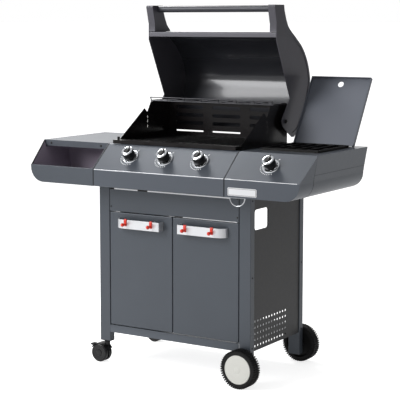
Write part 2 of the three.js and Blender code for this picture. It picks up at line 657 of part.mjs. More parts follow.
// A flat grate of bars along Y between two end bars, with one lower cross bar.
function grate(x0, x1, y0, y1, top, bars, barWidth, barHeight) {
  const pieces = [];
  for (let i = 0; i < bars; i++) {
    const x = x0 + ((x1 - x0 - barWidth) * i) / (bars - 1);
    pieces.push(box(x, x + barWidth, y0, y1, top - barHeight, top));
  }
  for (const y of [y0, y1 - barWidth]) pieces.push(box(x0, x1, y, y + barWidth, top - barHeight, top));
  const y = (y0 + y1 - barWidth) / 2;
  pieces.push(box(x0, x1, y, y + barWidth, top - barHeight, top - barHeight / 2));
  return join(pieces);
}

function makeCookingGrates() {
  const inner = halfFirebox - FIREBOX_WALL - 2;
  const [y0, y1] = [FIREBOX_FRONT + FIREBOX_WALL + 2, fireboxBack - FIREBOX_WALL - 2];
  const [bars, barWidth, gap] = [12, 6, 1.5];
  const left = grate(-inner, -gap, y0, y1, grateTop, bars, barWidth, GRATE_HEIGHT);
  const right = grate(gap, inner, y0, y1, grateTop, bars, barWidth, GRATE_HEIGHT);
  piece("cooking_grate_left", left, FINISH.iron());
  piece("cooking_grate_right", right, FINISH.iron());
}

const RACK = {
  halfWidth: halfFirebox + 6,
  front: fireboxBack - 135,
  back: fireboxBack - 22,
  wire: 2.2,
  rise: 14,
  divisions: 7,
};

function makeWarmingRack() {
  const { halfWidth, front, back, wire, rise, divisions } = RACK;
  const low = fireboxRearHeight + FIT + wire;
  const high = low + rise;
  const wires = [
    rodX(front + 6, low, wire, -halfWidth, halfWidth, 5),
    rodX((front + back) / 2, low, wire, -halfWidth, halfWidth, 5),
    rodX(back, low, wire, -halfWidth, halfWidth, 5),
    rodX(front, high, wire, -halfWidth, halfWidth, 5),
  ];
  for (let i = 0; i <= divisions; i++) {
    const x = -halfWidth + wire + ((2 * halfWidth - 2 * wire) * i) / divisions;
    wires.push(rodY(x, low, wire, front + 6, back + 1, 5));
    const lean = Math.atan2(6, rise);
    const upright = rod(wire, Math.hypot(rise, 6) + 2, 5).rotateX(Math.PI / 2 + lean);
    wires.push(solidOf(upright.translate(x, front + 3, (low + high) / 2)));
  }
  piece("warming_rack", join(wires), FINISH.wire());
}

// ---- Control panel, gas valves and knobs ----
// The frame of a knob: its origin is on the sloping face and its Z axis points straight out of it.
function knobFrame(x) {
  const turn = new THREE.Matrix4().makeRotationX(slopeAngle);
  return turn.setPosition(x, -KNOB_SETBACK, knobZ);
}

function rodOnKnobAxis(x, radius, from, to, sides = 12) {
  const geometry = rod(radius, to - from, sides).rotateX(Math.PI / 2).translate(0, 0, (from + to) / 2);
  return solidOf(geometry.applyMatrix4(knobFrame(x)));
}

const stemHoles = (xs) => xs.map((x) => rodOnKnobAxis(x, STEM_DIAMETER / 2 + 8, -8, 8, 10));

function makeControlPanel() {
  const section = sheetSection([
    [EDGE_FOLD, deckHeight], [0, deckHeight], [-PANEL_REACH, panelFold],
    [-PANEL_REACH, panelBottom], [-2, panelBottom],
  ]);
  const panel = alongX(section, -halfCook + FIT, halfCook - FIT);
  piece("control_panel", cut(panel, stemHoles(burnerXs)), FINISH.cabinet());
}

const VALVE = { depth: 55, radius: 12, pipe: 9, inletX: halfCook - 9 };

function makeGasTrain() {
  const { depth, radius, pipe, inletX } = VALVE;
  const pipeY = -KNOB_SETBACK + depth * Math.sin(slopeAngle);
  const pipeZ = knobZ - depth * Math.cos(slopeAngle);
  const inlet = [
    rodY(inletX, pipeZ, 5, pipeY, pipeY + 60, 10),
    rodY(inletX, pipeZ, 8, pipeY + 46, pipeY + 72, 6),
  ];
  const blocks = knobXs.map((x) => rodOnKnobAxis(x, radius, -depth - 7, -depth + 21, 8));
  const bores = knobXs.map((x) => rodOnKnobAxis(x, STEM_DIAMETER / 2 + FIT, -depth + 1, -depth + 22, 8));
  const pipeRun = rodX(pipeY, pipeZ, pipe, -KNOB_PITCH - 24, sideBurnerX + 24, 10);
  const train = join(pipeRun, blocks, inlet);
  piece("gas_manifold", cut(train, bores), FINISH.steel());
}

function makeKnob(x, label) {
  const knob = new THREE.Group();
  knob.applyMatrix4(knobFrame(x));
  grill.add(knob);
  const stem = STEM_DIAMETER / 2;
  const grip = KNOB_DIAMETER / 2;
  const stemTop = 20;
  piece("valve_stem_" + label, rodZ(0, 0, stem, -VALVE.depth + 7, stemTop, 8), FINISH.steel(), knob);
  const base = KNOB_TRAVEL + 3;
  const profile = [
    [0, stemTop + FIT], [stem + FIT, stemTop + FIT], [stem + FIT, base], [grip - 2, base],
    [grip, base + 3], [grip - 1.5, KNOB_HEIGHT - 2], [grip - 4, KNOB_HEIGHT], [0, KNOB_HEIGHT],
  ];
  const pointer = box(-3, 3, 0, grip - 2, KNOB_HEIGHT - 2, KNOB_HEIGHT + 1.5);
  piece("knob_" + label, join(turned(profile, 20), pointer), FINISH.plastic(), knob);
}

// ---- Side shelves ----
const SHELF_TUCK = 167; // how far the shelf's lower edge runs in from its outer edge

// Outline of a shelf end seen from the front, from the deck edge down round the lower corner.
function endOutline(side, inset, bottomX) {
  const radius = SHELF_CORNER - inset;
  const centreX = foldX - SHELF_CORNER;
  const centreZ = panelBottom + SHELF_CORNER;
  const arc = arcPoints(centreX, centreZ, radius, 0, -Math.PI / 2, 7);
  const upper = [[halfSpan - inset, deckHeight], [foldX - inset, panelFold]];
  return [...upper, ...arc, [bottomX, panelBottom + inset]].map(([x, z]) => [side * x, z]);
}

function shelfSkin(side) {
  const inner = side * (halfCook + FIT);
  const path = [[inner, deckHeight - 45], [inner, deckHeight]];
  const whole = [...path, ...endOutline(side, 0, halfSpan - SHELF_TUCK)];
  const section = side > 0 ? sheetSection(whole.reverse()) : sheetSection(whole);
  return alongY(section, 0, SHELF_DEPTH);
}

function shelfBackFlange(side) {
  const [x0, x1] = [halfCook + FIT, halfSpan - 8];
  const span = side > 0 ? [x0, x1] : [-x1, -x0];
  return box(...span, SHELF_DEPTH - SHEET, SHELF_DEPTH, deckHeight - 40, deckHeight);
}

function makeLeftShelf() {
  const flange = box(-halfSpan + 6, -halfCook - FIT, 0, SHEET, deckHeight - 25, deckHeight);
  piece("left_shelf", join(shelfSkin(-1), shelfBackFlange(-1), flange), FINISH.cabinet());
}

// The space under the sloping face: the panel's side view carried across the shelf.
function underSlope(inset, rear) {
  const drop = inset / Math.cos(slopeAngle);
  const front = -PANEL_REACH + inset;
  const fold = panelFold - drop + (inset * SLOPE_RISE) / PANEL_REACH;
  const atRear = deckHeight - drop + (rear * SLOPE_RISE) / PANEL_REACH;
  return polygon([[front, panelBottom - 1], [rear, panelBottom - 1], [rear, atRear], [front, fold]]);
}

function makeLeftBin() {
  const inner = halfCook + FIT;
  const filled = (inset) =>
    polygon([...endOutline(-1, inset, inner + inset), [-inner - inset, deckHeight]]);
  const tuck = SHEET + FIT; // how far the bin stays inside the shelf's sheet
  const rim = deckHeight - 30;
  const below = alongX(underSlope(0, -FIT), -halfSpan, 0);
  const front = alongY(filled(0), -PANEL_REACH, -FIT).intersect(below);
  const rear = alongY(filled(tuck), -tuck, BIN_DEPTH - PANEL_REACH)
    .intersect(box(-halfSpan, 0, -PANEL_REACH, BIN_DEPTH, panelBottom, rim));
  const wall = tuck + SHEET;
  const hollow = alongY(filled(wall), -PANEL_REACH + wall, BIN_DEPTH - PANEL_REACH - SHEET);
  piece("left_bin", cut(join(front, rear), hollow), FINISH.cabinet());
}

const BADGE = { length: 124, height: 30 };

function makeRightFrontPanel() {
  const inner = halfCook + FIT;
  const filled = (inset, x) => polygon([...endOutline(1, inset, x), [x, deckHeight]]);
  const below = alongX(underSlope(0, -FIT), 0, halfSpan);
  const outer = alongY(filled(0, inner), -PANEL_REACH, -FIT).intersect(below);
  const hollow = alongY(filled(SHEET, inner - 2), -PANEL_REACH + SHEET, 5)
    .intersect(alongX(underSlope(SHEET, 5), 0, halfSpan));
  piece("right_front_panel", cut(outer, hollow, stemHoles([sideBurnerX])), FINISH.cabinet());
  const [badgeX, badgeZ] = [halfCook + 14, panelBottom + 7];
  const badge = roundedRectangle(badgeX, badgeX + BADGE.length, badgeZ, badgeZ + BADGE.height, 3);
  const badgeFront = -PANEL_REACH - FIT;
  piece("badge_plate", alongY(badge, badgeFront - SHEET, badgeFront, 2), FINISH.aluminium());
}

function makeBottleOpener() {
  const [x, outer, inner, depth] = [halfCook + 49, 34, 29.5, 4.5];
  const top = panelBottom - FIT;
  const y = -PANEL_REACH + 10;
  const ring = polygon([
    ...arcPoints(x, top - 1, outer, Math.PI, 2 * Math.PI, 14),
    ...arcPoints(x, top - 1, inner, 2 * Math.PI, Math.PI, 14),
  ]);
  const strip = box(x - outer, x + outer, y - 6, y + 16, top - 2, top);
  piece("bottle_opener", join(alongY(ring, y, y + depth), strip), FINISH.wire());
}

const BOWL = { halfWidth: 123, front: 85, back: 355, depth: 55, flange: 4 };
const EAR = { half: 4.5, thickness: 3, pin: 2.5 };

function makeRightShelf() {
  const hole = box(
    sideBurnerX - BOWL.halfWidth, sideBurnerX + BOWL.halfWidth, BOWL.front, BOWL.back,
    deckHeight - 5, deckHeight + 1,
  );
  const ears = [-1, 1].flatMap((side) => {
    const outer = side * (SIDE_LID_WIDTH / 2 - SHEET - 1);
    const at = (a, b) => [a, b].map((v) => sideBurnerX + v).sort((p, q) => p - q);
    const { y, z } = sideLidHinge;
    return [
      box(...at(outer, outer - side * EAR.thickness), y - EAR.half, y + EAR.half, deckHeight - 1, z),
      rodX(y, z, EAR.half, ...at(outer, outer - side * EAR.thickness), 12),
      rodX(y, z, EAR.pin, ...at(outer - side, outer + side * (SHEET + 2)), 12),
    ];
  });
  piece("right_shelf", join(cut(join(shelfSkin(1), shelfBackFlange(1)), hole), ears), FINISH.cabinet());
}

function makeSideBurner() {
  const { halfWidth, front, back, depth, flange } = BOWL;
  const [x0, x1] = [sideBurnerX - halfWidth + FIT, sideBurnerX + halfWidth - FIT];
  const [y0, y1] = [front + FIT, back - FIT];
  const rim = deckHeight + FIT;
  const floor = rim - depth;
  const headX = sideBurnerX;
  const headY = (front + back) / 2;
  const bowl = cut(
    join(
      box(x0, x1, y0, y1, floor, rim + 1),
      box(x0 - flange, x1 + flange, y0 - flange, y1 + flange, rim, rim + SHEET),
    ),
    box(x0 + SHEET, x1 - SHEET, y0 + SHEET, y1 - SHEET, floor + SHEET, rim + 5),
    rodZ(headX, headY, 13, floor - 1, floor + 3, 20),
  );
  piece("side_burner_bowl", bowl, FINISH.enamel());
  const head = [
    [0, floor - 8], [12, floor - 8], [12, floor + SHEET + FIT], [34, floor + SHEET + FIT + 6],
    [36, floor + 24], [42, floor + 26], [42, floor + 31], [30, floor + 35], [0, floor + 35],
  ];
  piece("side_burner_head", turned(head, 20).translate([headX, headY, 0]), FINISH.brass());
  const top = rim + SHEET + FIT + 7;
  const bars = grate(x0 + 2, x1 - 2, y0 + 6, y1 - 6, top, 6, 6, 7);
  const foot = (x, y) => box(x, x + 6, y, y + 6, top - 7, top);
  const feet = [x0 - 1, x1 - 5].flatMap((x) => [foot(x, y0 + 10), foot(x, y1 - 16)]);
  piece("side_burner_grate", join(bars, feet), FINISH.iron());
}

const FINGER_HOLE = { diameter: 25, inset: 28 };

function makeSideLid() {
  const opened = THREE.MathUtils.degToRad(-SIDE_LID_OPEN);
  const lid = groupAt(sideBurnerX, sideLidHinge.y, sideLidHinge.z, opened);
  const half = SIDE_LID_WIDTH / 2;
  const [under, reach, eye] = [7, SIDE_LID_LENGTH, 6.5];
  const plate = polygon([[-half, -reach], [half, -reach], [half, 2], [-half, 2]]);
  plate.holes.push(circle(0, -reach + FINGER_HOLE.inset, FINGER_HOLE.diameter / 2, 16));
  const cheek = polygon([
    [-reach, under + 0.5], [-reach, -eye],
    ...arcPoints(0, 0, eye, -Math.PI / 2, Math.PI / 2, 8), [0, under + 0.5],
  ]);
  const pinHole = rodX(0, 0, EAR.pin + FIT, -half - 1, half + 1, 12);
  const bothCheeks = join(alongX(cheek, -half, -half + SHEET), alongX(cheek, half - SHEET, half));
  const front = box(-half, half, -reach, -reach + SHEET, -eye, under + 1);
  const whole = join(alongZ(plate, under, under + SHEET), cut(bothCheeks, pinHole), front);
  piece("side_lid", whole, FINISH.cabinet(), lid);
}

// ---- Lid ----
// Side view of the open lid, in Y and Z from the hinge.
const LID_BROW = -76; // the front rim, and the front edge of the arms
const LID_BAND = { bottom: 336, top: 356 };
const LID_ARM_TOP = 464;
const LID_HANDLE_PLACE = [-45, 449];
const LID_REAR = [
  [-16, LID_ARM_TOP], [-8, 432], [22, 378], [88, 332], [142, 293], [183, 241], [205, 190], [211, 150],
  [199, 105], [170, 42], [118, -30], [88, -56],
];

const rearCurve = new THREE.SplineCurve(LID_REAR.map(([y, z]) => new THREE.Vector2(y, z)));

function lidEndShape() {
  const front = [[38, 90], [LID_BROW, 323], [LID_BROW, 392], [-93, LID_ARM_TOP - 6], [-88, LID_ARM_TOP]];
  const rear = rearCurve.getPoints(26).map((p) => [p.x, p.y]);
  const boss = arcPoints(0, 0, 29, (250 * Math.PI) / 180, (150 * Math.PI) / 180, 5);
  return polygon([...front, ...rear, [76, -66], [56, -67], [-11, -28], ...boss]);
}

function armShape() {
  const brow = LID_BAND.top + 1;
  const rear = rearCurve.getPoints(26).filter((p) => p.y > brow + 3).map((p) => [p.x, p.y]);
  return polygon([
    [LID_BROW, brow], [LID_BROW, 392], [-93, LID_ARM_TOP - 6], [-88, LID_ARM_TOP], ...rear, [40, brow],
  ]);
}

function makeLid() {
  const lid = groupAt(0, lidHinge.y, lidHinge.z);
  const pinHole = rodX(0, 0, HINGE_BOLT.radius + FIT, -halfCook - 1, halfCook + 1, 12);
  for (const [side, label] of [[-1, "left"], [1, "right"]]) {
    const span = (a, b) => (side > 0 ? [a, b] : [-b, -a]);
    const inner = halfCook - LID_ARM_WIDTH;
    const plate = alongX(lidEndShape(), ...span(halfCook - LID_PLATE, halfCook));
    const arm = alongX(armShape(), ...span(inner, halfCook - 1));
    const rib = box(...span(inner, halfCook - 1), LID_BROW, LID_BROW + 6, 323, LID_BAND.top + 2);
    piece("lid_end_" + label, cut(join(plate, arm, rib), pinHole), FINISH.cabinet(), lid);
  }
  const inset = 8;
  const rear = offsetPath(rearCurve.getPoints(26), -inset).filter((p) => p.y < 330);
  const skin = [
    [LID_BROW, LID_BAND.bottom], [LID_BROW, LID_BAND.top], [50, LID_BAND.top],
    [72, LID_BAND.top - 10], ...rear,
  ];
  const halfShell = halfCook - LID_PLATE - FIT;
  const narrow = halfCook - LID_ARM_WIDTH - FIT;
  const shell = alongX(sheetSection(skin.reverse(), LID_SHEET), -halfShell, halfShell);
  const clearance = [-1, 1].map((side) => {
    const [a, b] = side > 0 ? [narrow, halfShell + 1] : [-halfShell - 1, -narrow];
    const { bottom, top } = LID_BAND;
    const atRib = box(a, b, LID_BROW - 1, LID_BROW + 6 + FIT, bottom - 20, top + 3);
    return atRib.add(box(a, b, LID_BROW - 1, 80, top + 1 - FIT, top + 5));
  });
  piece("lid_shell", cut(shell, clearance), FINISH.cabinet(), lid);
  const radius = LID_HANDLE_DIAMETER / 2;
  const reach = halfCook - LID_ARM_WIDTH - FIT;
  const [y, z] = LID_HANDLE_PLACE;
  const handle = cut(
    rodX(y, z, radius, -reach, reach, 18),
    rodX(y, z, radius - SHEET, -reach - 1, reach + 1, 18),
  );
  piece("lid_handle", handle, FINISH.aluminium(), lid);
}

// ---- The whole grill ----
makePosts();
makeSidePanels();
makeFloorAndRails();
makeDoor(-1, "left");
makeDoor(1, "right");
makeWheels();
makeCaster("front", frontPostY, true);
makeCaster("rear", rearPostY, false);
makeFirebox();
makeGreaseTray();
makeBurners();
makeCookingGrates();
makeWarmingRack();
makeControlPanel();
makeGasTrain();
knobXs.forEach((x, i) => makeKnob(x, i + 1));
makeLeftShelf();
makeLeftBin();
makeRightShelf();
makeRightFrontPanel();
makeBottleOpener();
makeSideBurner();
makeSideLid();
makeLid();

grill.updateMatrixWorld(true);
const bounds = new THREE.Box3().setFromObject(grill, true);
const middle = bounds.getCenter(new THREE.Vector3());
grill.position.set(-middle.x, -middle.y, -bounds.min.z);

export default grill;
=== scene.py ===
"""The looks of a gas barbecue grill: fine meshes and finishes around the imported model."""

import math

import bmesh
import bpy
import numpy as np
from mathutils import Matrix, Vector


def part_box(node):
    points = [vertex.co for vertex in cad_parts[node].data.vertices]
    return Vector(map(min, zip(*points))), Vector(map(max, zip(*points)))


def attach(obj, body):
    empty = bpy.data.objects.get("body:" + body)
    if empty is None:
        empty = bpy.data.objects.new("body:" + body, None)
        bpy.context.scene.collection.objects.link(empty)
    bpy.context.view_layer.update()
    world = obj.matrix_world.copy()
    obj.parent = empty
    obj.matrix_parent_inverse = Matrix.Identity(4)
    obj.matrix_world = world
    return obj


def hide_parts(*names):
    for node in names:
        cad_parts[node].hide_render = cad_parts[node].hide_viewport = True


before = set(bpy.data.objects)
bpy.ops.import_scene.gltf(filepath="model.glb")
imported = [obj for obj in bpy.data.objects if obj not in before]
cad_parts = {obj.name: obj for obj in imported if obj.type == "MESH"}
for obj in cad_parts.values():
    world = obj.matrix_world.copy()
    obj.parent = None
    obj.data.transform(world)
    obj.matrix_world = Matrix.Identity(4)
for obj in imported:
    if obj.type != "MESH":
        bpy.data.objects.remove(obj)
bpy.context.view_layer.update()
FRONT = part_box("post_front_left")[0].y  # the cabinet's front face in the row frame


def at(x, y, z):
    """A point given in millimetres from the cabinet's front face, its centre line and the ground."""
    return Vector((x / 1000, y / 1000 + FRONT, z / 1000))


# ---- Sizes shared with the model, in millimetres ----
HALF_CABINET = 355
CABINET_DEPTH = 428
CABINET_TOP = 740
POST = (50, 30)  # across and deep
POST_X = 330
HALF_COOK = 305  # half the lid's width, over its castings
DOOR = (165, 628)  # z of the doors' bottom and top
DECK = 905  # the shelves' top
PANEL_REACH = 110  # how far the control panel stands out from the cabinet
PANEL_BOTTOM = 743
PANEL_FOLD = 810  # height of the fold below the sloping face
PANEL_DROP = DECK - PANEL_FOLD
SLOPE = math.atan2(PANEL_DROP, PANEL_REACH)
SIDE_BURNER = (470, 220)
KNOB_X = (-163, 0, 163, SIDE_BURNER[0])
KNOB_SETBACK = 51
KNOB_Z = DECK - KNOB_SETBACK * PANEL_DROP / PANEL_REACH
LID_HINGE = (360, 994)  # y and z of the hinge line
AXLE_HEIGHT = 75
SHEET = 1.5  # thickness of the folded sheets
GAP = 0.3  # left between neighbouring parts
SIDES = {-1: "left", 1: "right"}
ENDS = {"front": POST[1] / 2, "rear": CABINET_DEPTH - POST[1] / 2}  # y of the posts


# ---- Materials ----
def linear(r, g, b):
    """A colour given as 0 to 255 screen values, as linear light."""
    shares = [c / 255 for c in (r, g, b)]
    return tuple(((c + 0.055) / 1.055) ** 2.4 if c > 0.04 else c / 12.92 for c in shares)


SLOW_PATCHES = 7  # size of the colour changes, as a noise scale
EDGE_FROM, EDGE_TO = 0.52, 0.62  # pointiness over which an edge turns lighter


def finish(name, colour, rough, metal=0.0, grain=900, bump=0.04, depth=0.0003, stretch=(1, 1, 1),
           spread=0.08, rough_spread=0.05, coat=0.0, specular=0.5, edge_highlight=0.0):
    """A node material: slow colour and roughness changes, a fine relief, and edges made lighter as a painted
    highlight.
    """
    made = bpy.data.materials.new(name)
    made.use_nodes = True
    nodes, links = made.node_tree.nodes, made.node_tree.links
    shader = nodes["Principled BSDF"]
    shader.inputs["Metallic"].default_value = metal
    shader.inputs["Specular IOR Level"].default_value = specular
    if coat:
        shader.inputs["Coat Weight"].default_value = coat
        shader.inputs["Coat Roughness"].default_value = 0.08
    place = nodes.new("ShaderNodeTexCoord")
    scaled = nodes.new("ShaderNodeMapping")
    scaled.inputs["Scale"].default_value = stretch
    links.new(place.outputs["Object"], scaled.inputs["Vector"])

    def noise(scale, octaves, vector):
        node = nodes.new("ShaderNodeTexNoise")
        node.inputs["Scale"].default_value = scale
        node.inputs["Detail"].default_value = octaves
        links.new(vector, node.inputs["Vector"])
        return node.outputs["Fac"]

    slow = noise(SLOW_PATCHES, 5, place.outputs["Object"])
    fine = noise(grain, 4, scaled.outputs["Vector"])
    tint = nodes.new("ShaderNodeMix")
    tint.data_type = "RGBA"
    tint.inputs["A"].default_value = (*[c * (1 - spread) for c in colour], 1)
    tint.inputs["B"].default_value = (*[min(1, c * (1 + spread)) for c in colour], 1)
    links.new(slow, tint.inputs["Factor"])
    shade = tint.outputs["Result"]
    # Painted highlight: convex edges, found by pointiness, are made lighter as if they caught the light.
    if edge_highlight:
        geometry = nodes.new("ShaderNodeNewGeometry")
        edge = nodes.new("ShaderNodeMapRange")
        edge.inputs["From Min"].default_value = EDGE_FROM
        edge.inputs["From Max"].default_value = EDGE_TO
        edge.inputs["To Max"].default_value = edge_highlight
        links.new(geometry.outputs["Pointiness"], edge.inputs["Value"])
        lighter = nodes.new("ShaderNodeMix")
        lighter.data_type = "RGBA"
        lighter.inputs["B"].default_value = (*[min(1, c * 2.2 + 0.02) for c in colour], 1)
        links.new(edge.outputs["Result"], lighter.inputs["Factor"])
        links.new(shade, lighter.inputs["A"])
        shade = lighter.outputs["Result"]
    links.new(shade, shader.inputs["Base Color"])
    gloss = nodes.new("ShaderNodeMapRange")
    gloss.inputs["To Min"].default_value = rough - rough_spread
    gloss.inputs["To Max"].default_value = rough + rough_spread
    links.new(noise(SLOW_PATCHES * 9, 6, scaled.outputs["Vector"]), gloss.inputs["Value"])
    links.new(gloss.outputs["Result"], shader.inputs["Roughness"])
    relief = nodes.new("ShaderNodeBump")
    relief.inputs["Strength"].default_value = min(1.0, bump * 4)
    relief.inputs["Distance"].default_value = depth
    links.new(fine, relief.inputs["Height"])
    links.new(relief.outputs["Normal"], shader.inputs["Normal"])
    return made


PAINT = finish("paint", linear(63, 68, 75), 0.34, 0.25, grain=1400, bump=0.03, edge_highlight=0.35)
# Painted light: a slightly lighter copy of the paint for the control panel and the shelf tops, which face
# the light.
PANEL_LIT_PAINT = finish("panel_lit_paint", linear(66, 71, 79), 0.4, 0.25, grain=1400, bump=0.03, edge_highlight=0.35)
LID_PAINT = finish("lid_paint", linear(44, 45, 50), 0.26, 0.2, grain=1000, bump=0.004, coat=0.3,
                   rough_spread=0.02)
# Painted light: a much lighter copy of the paint for the side burner's lid, for the light and reflection on
# its face.
SIDE_LID_LIT_PAINT = finish("side_lid_lit_paint", linear(100, 104, 113), 0.34, 0.25, grain=1400, bump=0.002,
                        spread=0.02, rough_spread=0.01)
ARM_PAINT = finish("arm_paint", linear(68, 67, 74), 0.38, 0.25, grain=1100, bump=0.05, edge_highlight=0.3)
# Painted shade: a darker copy of the paint for the side panels, which face away from the light.
SIDE_SHADE_PAINT = finish("side_shade_paint", linear(34, 34, 36), 0.46, 0.05, grain=1400, bump=0.03)
# Painted light: a very pale copy of the paint for the bin's inside, standing for light that reaches into it.
BIN_LIT_PAINT = finish("bin_lit_paint", linear(146, 137, 151), 0.5, 0.0, grain=1200, bump=0.04)
ENAMEL = finish("enamel", linear(20, 17, 18), 0.24, 0.0, grain=300, bump=0.003, specular=0.25)
RACK_WIRE = finish("rack_wire", linear(66, 66, 69), 0.36, 0.9, grain=400, bump=0.05, spread=0.2)
IRON = finish("iron", linear(12, 12, 13), 0.42, 0.0, specular=0.25, grain=600, bump=0.2, depth=0.0006,
              spread=0.25)
WIRE = finish("wire", linear(178, 180, 184), 0.24, 1.0, grain=400, bump=0.02)
CHROME = finish("chrome", linear(216, 219, 223), 0.14, 1.0, grain=300, bump=0.01, rough_spread=0.03)
STEEL = finish("steel", linear(160, 163, 168), 0.34, 1.0, grain=260, stretch=(1, 8, 8), bump=0.05)
BRUSHED = finish("brushed", linear(214, 215, 218), 0.36, 0.8, grain=300, stretch=(0.6, 12, 12), bump=0.06)
TUBE = finish("handle_tube", linear(50, 51, 57), 0.4, 0.3, grain=300, stretch=(0.6, 10, 10), bump=0.05)
BRASS = finish("brass", linear(176, 148, 92), 0.38, 1.0, grain=500, bump=0.06, spread=0.2)
BLACK = finish("black_plastic", linear(12, 12, 14), 0.3, 0.0, grain=1600, bump=0.05, specular=0.4)
MATT = finish("matt_black", linear(14, 14, 16), 0.45, 0.0, grain=1500, bump=0.1, spread=0.15, specular=0.3)
RUBBER = finish("rubber", linear(11, 11, 12), 0.6, 0.0, specular=0.3, grain=900, bump=0.15, spread=0.2)
CAP = finish("wheel_cap", linear(206, 206, 200), 0.42, 0.0, grain=900, bump=0.05, spread=0.03)
# Painted highlight: the pale colour of strips that stand for light caught along sheet edges.
EDGE = finish("highlight_paint", linear(214, 215, 218), 0.4, 0.4, grain=300, bump=0.03, spread=0.04)
RED = finish("red_plastic", linear(214, 52, 32), 0.3, 0.0, grain=700, bump=0.04, spread=0.06)
WHITE = finish("dial_print", linear(228, 230, 232), 0.5, 0.0, grain=700, bump=0.02, spread=0.03)


# ---- Mesh making ----
CUBOID = ((0, 1, 3, 2), (4, 6, 7, 5), (0, 4, 5, 1), (2, 3, 7, 6), (0, 2, 6, 4), (1, 5, 7, 3))


